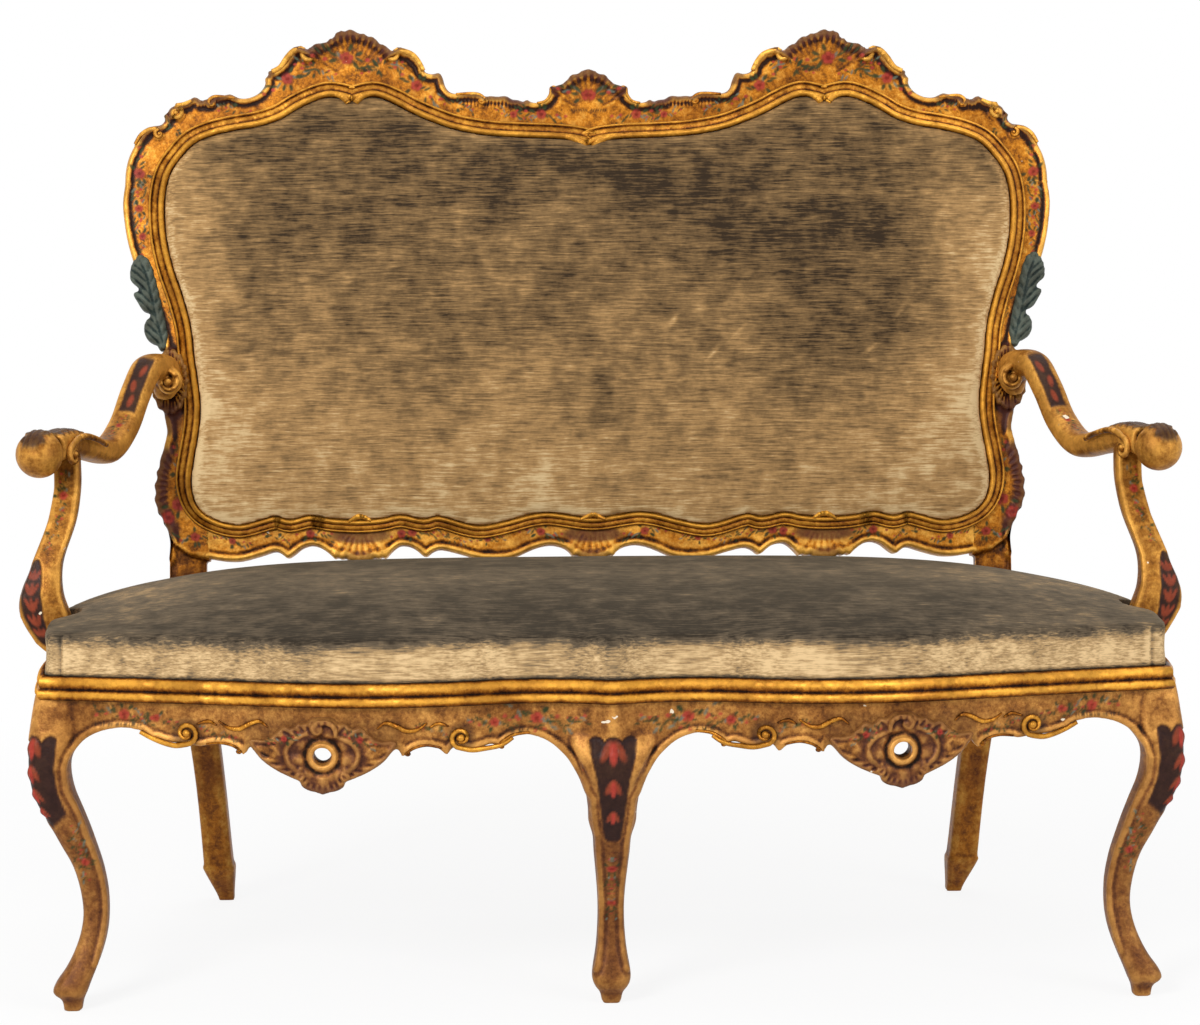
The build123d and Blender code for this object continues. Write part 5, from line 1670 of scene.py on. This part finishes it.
PAD_BACK, PAD_EDGE, PAD_CROWN, PAD_MIDDLE, SLAB = 5.3, 7.8, 20, 351, 14
pad_line = tucked(sight, 0.4)
pad_mesh = remeshed(holed_prism(pad_line, [], 0, SLAB), voxel=5, name="back_pad", soften=1)
flat = places(pad_mesh)
u, v = flat[:, 0], flat[:, 1]
edge = edge_distance(flat[:, :2], pad_line + pad_line[:1])
raised = np.clip(flat[:, 2] / SLAB, 0, 1)
share = np.interp(np.abs(u), [0, 178, 356, 535, 713], [1, 0.95, 0.8, 0.5, 0.1])
dome = PAD_CROWN * share * np.clip(1 - ((v - PAD_MIDDLE) / PAD_MIDDLE) ** 2, 0, 1)
roll = 2.2 * (1 - ramp(edge, 0, 16))
flat[:, 2] = PAD_BACK + raised * (PAD_EDGE - PAD_BACK + dome - roll)
move_to(pad_mesh, flat)
print("pad thickness:", round(float(flat[:, 2].max() - PAD_BACK)), "mm")

# %% [markdown]
# The pile of the back is paler at the foot and the sides, where it is rubbed, and dark above. A few pale
# scuffs lie across it. They are strokes of the same brush that painted the flowers, on the nap this time.

# %% Back pad pile
nap = np.interp(v, [60, 200, 330, 450, 600], [0.66, 0.51, 0.37, 0.3, 0.28])
nap += 0.34 * ramp(np.abs(u), 400, 570) * (0.3 + 0.7 * ramp(v, 90, 240)) * (1 - 0.7 * ramp(v, 480, 640))
nap -= 0.07 * ramp(u, -200, 330) * ramp(v, 300, 560) + 0.08 * ridge(u, -470, 50) * ridge(v, 450, 90)
nap += 0.16 * ramp(16 - edge, 0, 12) - 0.12 * ramp(4 - edge, 0, 4)
rubs = bare(flat)
SCUFFS = (
    ((118, 342), (15, 5), 1.0), ((172, 293), (22, 4), 0.9), ((205, 318), (26, 3), 0.8),
    ((130, 256), (18, 4), 0.3), ((400, 300), (24, 5), 0.6), ((440, 352), (16, 4), 0.9),
)
for at, size, lean in SCUFFS:
    stroke(flat[:, :2], rubs, at, size, lean, (1, 1, 1), 0.9, 0.8)
nap += 0.3 * rubs[:, 3]
pad_mesh.transform(BACK)
keep(pad_mesh, nap=nap)
pad = show(pad_mesh, "back_pad", back_velvet, "velvet", "back_cover", "back_stuffing")

# %% [markdown]
# The seat is stuffed over its rails: upright sides that draw in a little at half height, a rolled edge
# and a crowned top. The crown is a product of three soft rises, from the front, the sides and the rear,
# so it has no creases. The cushion is drawn in round the arm supports and cut out at the rear legs.

# %% Seat cushion
SEAT_LOW, SEAT_EDGE, SEAT_CROWN = 427.6, 481, 1.16 * 34
REAR_POST, POST_FRONT, SEAT_REAR = 546, 499, 521
FRONT_SLOPE, SIDE_SLOPE, REAR_SLOPE = 125, 140, 45
SUPPORT_DEPTH, BESIDE_SUPPORT = 165, 684
seat_right = seat_plan(1, POST_FRONT) + [(REAR_POST, POST_FRONT), (REAR_POST, SEAT_REAR)]
seat_line = seat_right + flipped(seat_right)[::-1][:-1]
seat_block = holed_prism(seat_line, [], SEAT_LOW - 14, SEAT_EDGE + 1)
seat_mesh = remeshed(seat_block, voxel=5, name="seat_cushion", soften=9)
co = places(seat_mesh)
edge = edge_distance(co[:, :2], seat_line + seat_line[:1])
co[:, 2] = np.maximum(co[:, 2], SEAT_LOW + 3 * ramp(edge, 5, 9))
rise = np.clip((co[:, 2] - SEAT_LOW) / (SEAT_EDGE - SEAT_LOW), 0, 1)
side_edge = np.array([p for p in seat_right if p[1] > 10.5])
side_gap = np.interp(co[:, 1], side_edge[:, 1], side_edge[:, 0]) - np.abs(co[:, 0])
front_gap, rear_gap = co[:, 1] - bow(co[:, 0]), SEAT_REAR - co[:, 1]
crown = np.full(len(co), SEAT_CROWN)
for gap, slope in ((front_gap, FRONT_SLOPE), (side_gap, SIDE_SLOPE), (rear_gap, REAR_SLOPE)):
    crown *= 1 - np.exp(-(np.maximum(gap, 0) / slope) ** 1.2)
co[:, 2] += crown * ramp(rise, 0.55, 1)
seat_out = normals(seat_mesh)
level = np.hypot(seat_out[:, 0], seat_out[:, 1])
co[:, :2] -= seat_out[:, :2] * (2.5 * np.sin(math.pi * rise) * ramp(level, 0.4, 0.9))[:, None]
narrow = BESIDE_SUPPORT - 1 + 34 * (1 - np.exp(-((co[:, 1] - SUPPORT_DEPTH) / 36) ** 4))
co[:, 0] = np.clip(co[:, 0], -narrow, narrow)
print("seat height in the middle:", round(float(co[:, 2].max())), "mm")

# %% [markdown]
# The pile of the seat is dark where it faces up and pale where it faces front. Painted shade lies
# where the front rolls over into the top and along the cushion's foot. At each front corner a seam is
# sunk a little and painted as a narrow line of shade, with a painted highlight beside it.

# %% Seat cushion pile
upper = ramp(seat_out[:, 2], 0.25, 0.8)
# Painted shade: the front face darkens as it rolls over into the top.
nap = (1 - upper) * (0.76 - 0.4 * ramp(rise, 0.6, 0.95)) + upper * 0.19
nap += upper * 0.16 * ramp(np.abs(co[:, 0]), 350, 620)
nap += upper * (0.08 * ridge(co[:, 1], 240, 90) - 0.06 * ramp(co[:, 1], 330, 500))
SEAM, SEAM_HIGHLIGHT = 692, 687
boxing = (1 - upper) * ramp(-seat_out[:, 1], 0.2, 0.6)
seam = ridge(np.abs(co[:, 0]), SEAM, 3) * boxing
# Painted shade in the seam, and a painted highlight beside it where no ridge is modelled.
nap += 0.25 * ridge(np.abs(co[:, 0]), SEAM_HIGHLIGHT, 3) * boxing - 0.22 * seam
# Painted shade along the foot of the cushion, above the seat bead.
nap -= 0.4 * ramp(0.1 - rise, 0, 0.08)
co -= seat_out * (1.8 * seam)[:, None]
move_to(seat_mesh, co)
seat_mesh.transform(FLOOR_PLAN)
keep(seat_mesh, nap=nap)
seat = show(seat_mesh, "seat_cushion", seat_velvet, "velvet", "seat_cover", "seat_stuffing")

# %% [markdown]
# Jute webbing, hessian and lining cotton are plain weaves. An image of cloth could be laid on them; two
# crossed wave textures give the same threads at any size, and a little noise gives fibres and stains.

# %% Woven cloth


def woven(name, thread, gap, scale):
    """A plain weave from two crossed waves."""
    material, tree, shader, coords = new_material(name)
    bands = []
    for direction in ("X", "Y"):
        node = tree.nodes.new("ShaderNodeTexWave")
        node.bands_direction = direction
        set_sockets(node, {"Vector": coords, "Scale": scale, "Distortion": 0.6})
        bands.append(node.outputs["Fac"])
    weave = math_node(tree, "MAXIMUM", *bands)
    fibre = noise_node(tree, coords, 160, 4)
    value = math_node(tree, "MULTIPLY_ADD", fibre, 0.5, math_node(tree, "MULTIPLY", weave, 0.6))
    colour = ramp_node(tree, value, [(0.25, gap), (0.75, thread)])
    stain = ramp_node(tree, noise_node(tree, coords, 5, 5),
                      [(0.36, (0.62, 0.55, 0.45)), (0.62, (1.0, 1.0, 1.0))])
    colour = mix_node(tree, "MULTIPLY", 1.0, colour, stain)
    set_sockets(shader, {"Base Color": colour, "Roughness": 0.9, "Specular IOR Level": 0.2,
                         "Normal": bump_node(tree, weave, 0.4, 0.0006)})
    return material


jute = woven("jute_webbing", (0.3, 0.22, 0.12), (0.12, 0.08, 0.04), 260)
sacking = woven("hessian_cloth", (0.34, 0.25, 0.14), (0.1, 0.07, 0.035), 200)
cotton = woven("lining_cloth", (0.3, 0.25, 0.16), (0.16, 0.13, 0.08), 300)
print("woven cloths: 3")

# %% [markdown]
# Under the stuffing lie jute straps, woven over and under each other and tacked to the rails. They show
# from below. Each strap is a strip whose points are raised and lowered at the crossings, and the solidify
# operator gives it its thickness.

# %% Seat webbing
STRAP_WIDE, STRAP_THICK, CROSSING = 50, 1.1, 22


def strap(bm, ends, side, heights, turned):
    """A flat strip between two ends with a wave through the given (place, height) stops."""
    made = bmesh.ops.create_grid(bm, x_segments=72, y_segments=2, size=0.5)
    stops = np.array(sorted(heights))
    for vert in made["verts"]:
        run = ends[0] + (vert.co.x + 0.5) * (ends[1] - ends[0])
        across = side + vert.co.y * STRAP_WIDE
        high = float(np.interp(run, stops[:, 0], stops[:, 1]))
        vert.co = (across, run, high) if turned else (run, across, high)


def show_straps(bm, place, name, node):
    """Give flat straps their thickness, lay them in place and show them."""
    bmesh.ops.recalc_face_normals(bm, faces=bm.faces)
    bmesh.ops.solidify(bm, geom=bm.faces[:], thickness=STRAP_THICK)
    bmesh.ops.recalc_face_normals(bm, faces=bm.faces)
    mesh = as_mesh(bm, name)
    mesh.transform(place)
    show(mesh, name, jute, "webbing", node)


def over_and_under(places_across, row, levels, first_over, ends):
    """Heights of a strap that passes over and under the straps that cross it."""
    low, high = levels
    stops = [(end, high if first_over else low) for end in ends]
    for i, place in enumerate(places_across):
        over = (i + row) % 2 == 0
        level = high if over != first_over else low
        stops += [(place - CROSSING, level), (place + CROSSING, level)]
    return stops


cross_places = [130 * i for i in range(-4, 5)]
long_places = (85, 250, 345, 440)
SEAT_LEVELS, RAIL_LAP, SIDE_LAP = (425.8, 427.4), 6, 8
rim = np.array(seat_plan(RAIL_LAP, SEAT_REAR + 1))
side_rim = rim[rim[:, 1] > 15]
cross, lengthwise = bmesh.new(), bmesh.new()
for i, x in enumerate(cross_places):
    ends = (float(bow(x)) + RAIL_LAP, SEAT_REAR)
    strap(cross, ends, x, over_and_under(long_places, i, SEAT_LEVELS, False, ends), True)
for j, y in enumerate(long_places):
    reach = float(np.interp(y, side_rim[:, 1], side_rim[:, 0])) - SIDE_LAP
    ends = (-reach, reach)
    strap(lengthwise, ends, y, over_and_under(cross_places, j, SEAT_LEVELS, True, ends), False)
show_straps(cross, FLOOR_PLAN, "seat_straps_cross", "seat_webbing_cross")
show_straps(lengthwise, FLOOR_PLAN, "seat_straps_long", "seat_webbing_long")

# %% [markdown]
# The back is webbed in the same way, upright and across, inside the line of its moulding. The outline has
# no straight side, so each strap's ends are read off the sight line, at the strap's two edges and its
# middle.

# %% Back webbing
back_up, back_cross = bmesh.new(), bmesh.new()
back_heights = (200, 330, 460)
back_columns = [150 * i for i in range(-3, 4)]
BACK_LEVELS, BACK_LAP = (0.8, 2.2), 7
strap_edges = np.array((-STRAP_WIDE / 2, 0, STRAP_WIDE / 2))
top_rim = np.array([(p.x, p.y) for p in sight if p.y > 560 and abs(p.x) < 560])
top_rim = top_rim[top_rim[:, 0].argsort()]
foot_rim = np.array([(p.x, p.y) for p in sight if p.y < 80 and abs(p.x) < 540])
foot_rim = foot_rim[foot_rim[:, 0].argsort()]
side_line = np.array([(p.y, p.x) for p in sight if p.x > 540 and 90 < p.y < 560])
side_line = side_line[side_line[:, 0].argsort()]
for i, x in enumerate(back_columns):
    low = float(np.interp(x + strap_edges, *foot_rim.T).max()) + BACK_LAP
    high = float(np.interp(x + strap_edges, *top_rim.T).min()) - BACK_LAP
    ends = (low, high)
    strap(back_up, ends, x, over_and_under(back_heights, i, BACK_LEVELS, False, ends), True)
for j, y in enumerate(back_heights):
    reach = float(np.interp(y + strap_edges, *side_line.T).min()) - BACK_LAP
    ends = (-reach, reach)
    strap(back_cross, ends, y, over_and_under(back_columns, j, BACK_LEVELS, True, ends), False)
show_straps(back_up, BACK, "back_straps_upright", "back_webbing_upright")
show_straps(back_cross, BACK, "back_straps_cross", "back_webbing_cross")

# %% [markdown]
# Hessian lies on the webbing of seat and back and keeps the stuffing in. A plain cotton lining closes the
# back. All three are flat cuts stretched on the frame, so each is a thin plate.

# %% Hessian and lining


def cut_sheet(outline, low, high, place, name, material, slot_name, node):
    """A thin plate cut to an outline, laid in place and shown with flat shading."""
    mesh = as_mesh(holed_prism(outline, [], low, high), name)
    mesh.transform(place)
    piece = show(mesh, name, material, slot_name, node)
    mesh.shade_flat()


HESSIAN_INSET, HESSIAN_REACH = 7, 680
hessian_half = seat_plan(HESSIAN_INSET, POST_FRONT)
hessian_half += [(REAR_POST, POST_FRONT), (REAR_POST, SEAT_REAR - 1)]
hessian_half = [(min(x, HESSIAN_REACH) if abs(y - SUPPORT_DEPTH) < 40 else x, y) for x, y in hessian_half]
hessian_line = hessian_half + flipped(hessian_half)[::-1][:-1]
cut_sheet(hessian_line, 429.1, 430, FLOOR_PLAN, "seat_sacking", sacking, "hessian", "seat_hessian")
back_cut = tucked(sight, 6)
cut_sheet(back_cut, 4.1, 5, BACK, "back_sacking", sacking, "hessian", "back_hessian")
cut_sheet(back_cut, -BOARD - 1.6, -BOARD - 0.4, BACK, "back_cloth", cotton, "lining", "back_lining")

# %% [markdown]
# The other CAD nodes keep their shapes and get materials: worn gilding on the side and rear rails, bare
# beech with a grain inside the seat, and dull iron for screws and tacks. Nothing is modelled again,
# because these pieces are plain or hidden and their CAD shapes are exact.

# %% Wood and iron


def bare_wood(name, dark, light):
    """Straight grain with a stain."""
    material, tree, shader, coords = new_material(name)
    grain = noise_node(tree, stretched(tree, coords, (9, 60, 60)), 1.6, 6, 0.62)
    stain = noise_node(tree, coords, 7, 3)
    value = math_node(tree, "MULTIPLY_ADD", stain, 0.35, math_node(tree, "MULTIPLY", grain, 0.7))
    set_sockets(shader, {"Base Color": ramp_node(tree, value, [(0.3, dark), (0.72, light)]),
                         "Roughness": math_node(tree, "MULTIPLY_ADD", grain, 0.3, 0.5),
                         "Normal": bump_node(tree, grain, 0.25, 0.0006)})
    return material


def iron(name):
    """Dull iron with a little rust."""
    material, tree, shader, coords = new_material(name)
    rust = noise_node(tree, coords, 240, 4)
    colour = ramp_node(tree, rust, [(0.35, (0.12, 0.1, 0.09)), (0.7, (0.2, 0.11, 0.06))])
    rough = math_node(tree, "MULTIPLY_ADD", rust, 0.5, 0.3)
    set_sockets(shader, {"Base Color": colour, "Roughness": rough, "Metallic": 0.85})
    return material


beech = bare_wood("bare_beech", (0.16, 0.09, 0.04), (0.4, 0.26, 0.14))
side_gilt = gilt("gilt_side_rails", (0.03, 0.011, 0.004), (0.13, 0.05, 0.012), (0.28, 0.11, 0.022),
                 (0.5, 0.24, 0.06), metal=0.35, shine=0.28, chips=0.765, carved=False)
finishes = {"painted_gilt": side_gilt, "raw_wood": beech, "steel": iron("dull_iron")}
slots = {part["node"]: part["material_slot"] for part in frame["record"]["subparts"]}
shown = [name for name, node in frame["nodes"].items() if not node.hide_render]
for name in shown:
    node = frame["nodes"][name]
    node.data.materials.clear()
    node.data.materials.append(finishes[slots[name]])
print("CAD nodes left showing:", ", ".join(sorted(shown)))

# %% [markdown]
# A pale studio: a white floor that keeps the shadow under the legs, and a white backdrop that only rays
# that look can see in full. A bright real backdrop would light the settee from all sides and wash out the
# carving, so light path nodes tell looking rays from lighting rays.

# %% Studio floor and backdrop


def seen_white(tree):
    """A value that is 1 for rays that only look, and 0 for rays that carry light."""
    path = tree.nodes.new("ShaderNodeLightPath")
    look = math_node(tree, "MAXIMUM", path.outputs["Is Camera Ray"], path.outputs["Is Glossy Ray"])
    return math_node(tree, "MAXIMUM", look, path.outputs["Is Transmission Ray"])


bm = bmesh.new()
bmesh.ops.create_grid(bm, x_segments=1, y_segments=1, size=6)
floor = bpy.data.objects.new("studio_floor", as_mesh(bm, "studio_floor"))
bpy.context.scene.collection.objects.link(floor)
paper, tree, plain_shader, coords = new_material("studio_paper")
set_sockets(plain_shader, {"Base Color": (0.95, 0.95, 0.95, 1), "Roughness": 0.9})
glow = tree.nodes.new("ShaderNodeEmission")
blend = tree.nodes.new("ShaderNodeMixShader")
reach = tree.nodes.new("ShaderNodeVectorMath")
reach.operation = "LENGTH"
set_sockets(reach, {0: coords})
fade = tree.nodes.new("ShaderNodeMapRange")
set_sockets(fade, {"Value": reach.outputs["Value"], "From Min": 0.9, "From Max": 2.0, "To Min": 0.88})
white = math_node(tree, "MULTIPLY", seen_white(tree), fade.outputs["Result"])
set_sockets(blend, {"Fac": white, 1: plain_shader.outputs[0], 2: glow.outputs[0]})
set_sockets(tree.nodes["Material Output"], {"Surface": blend.outputs[0]})
floor.data.materials.append(paper)
world = bpy.data.worlds.new("studio_world")
bpy.context.scene.world = world
world.use_nodes = True
tree = world.node_tree
strength = math_node(tree, "MULTIPLY_ADD", seen_white(tree), 0.62, 0.38)
set_sockets(tree.nodes["Background"], {"Color": (1, 1, 1, 1), "Strength": strength})
print("floor and backdrop set")

# %% [markdown]
# Three soft lamps: a key from the upper left, as in the photo, a weaker fill from the right and a top
# light that draws the edge of the crest. Large lamps give the soft shadows of a photo studio.

# %% Lamps


def softbox(name, at, aim, size, power):
    """A square soft lamp that looks at a place."""
    lamp = bpy.data.lights.new(name, "AREA")
    lamp.size, lamp.energy = size, power
    thing = bpy.data.objects.new(name, lamp)
    thing.location = at
    thing.rotation_euler = (Vector(aim) - Vector(at)).to_track_quat("-Z", "Y").to_euler()
    bpy.context.scene.collection.objects.link(thing)


softbox("key", at=(-2.0, -3.0, 2.6), aim=(0, 0, 0.6), size=1.3, power=110)
softbox("fill", at=(2.6, -2.4, 1.8), aim=(0, 0, 0.6), size=1.8, power=38)
softbox("top", at=(0.2, 0.4, 3.4), aim=(0, 0, 0.5), size=2.2, power=32)
print("lamps: 3")

# %% [markdown]
# The camera stands where the photo was taken from. It could be placed by eye; here its place, turn and
# focal length come from paired left and right points of the photo, so the picture can be laid over the
# photo.

# %% Camera
CAMERA_AT = (-0.194, -4.2953, 1.113)
turned, pitched, rolled = (math.radians(angle) for angle in (-2.59, 90 - 6.88, -0.11))
lens = bpy.data.cameras.new("camera")
lens.lens, lens.sensor_width = 96.15, 36
camera = bpy.data.objects.new("camera", lens)
camera.matrix_world = (Matrix.Translation(CAMERA_AT) @ Matrix.Rotation(turned, 4, "Z")
                       @ Matrix.Rotation(pitched, 4, "X") @ Matrix.Rotation(rolled, 4, "Z"))
bpy.context.scene.collection.objects.link(camera)
bpy.context.scene.camera = camera
bpy.context.scene.view_settings.view_transform = "Standard"
print("camera set")
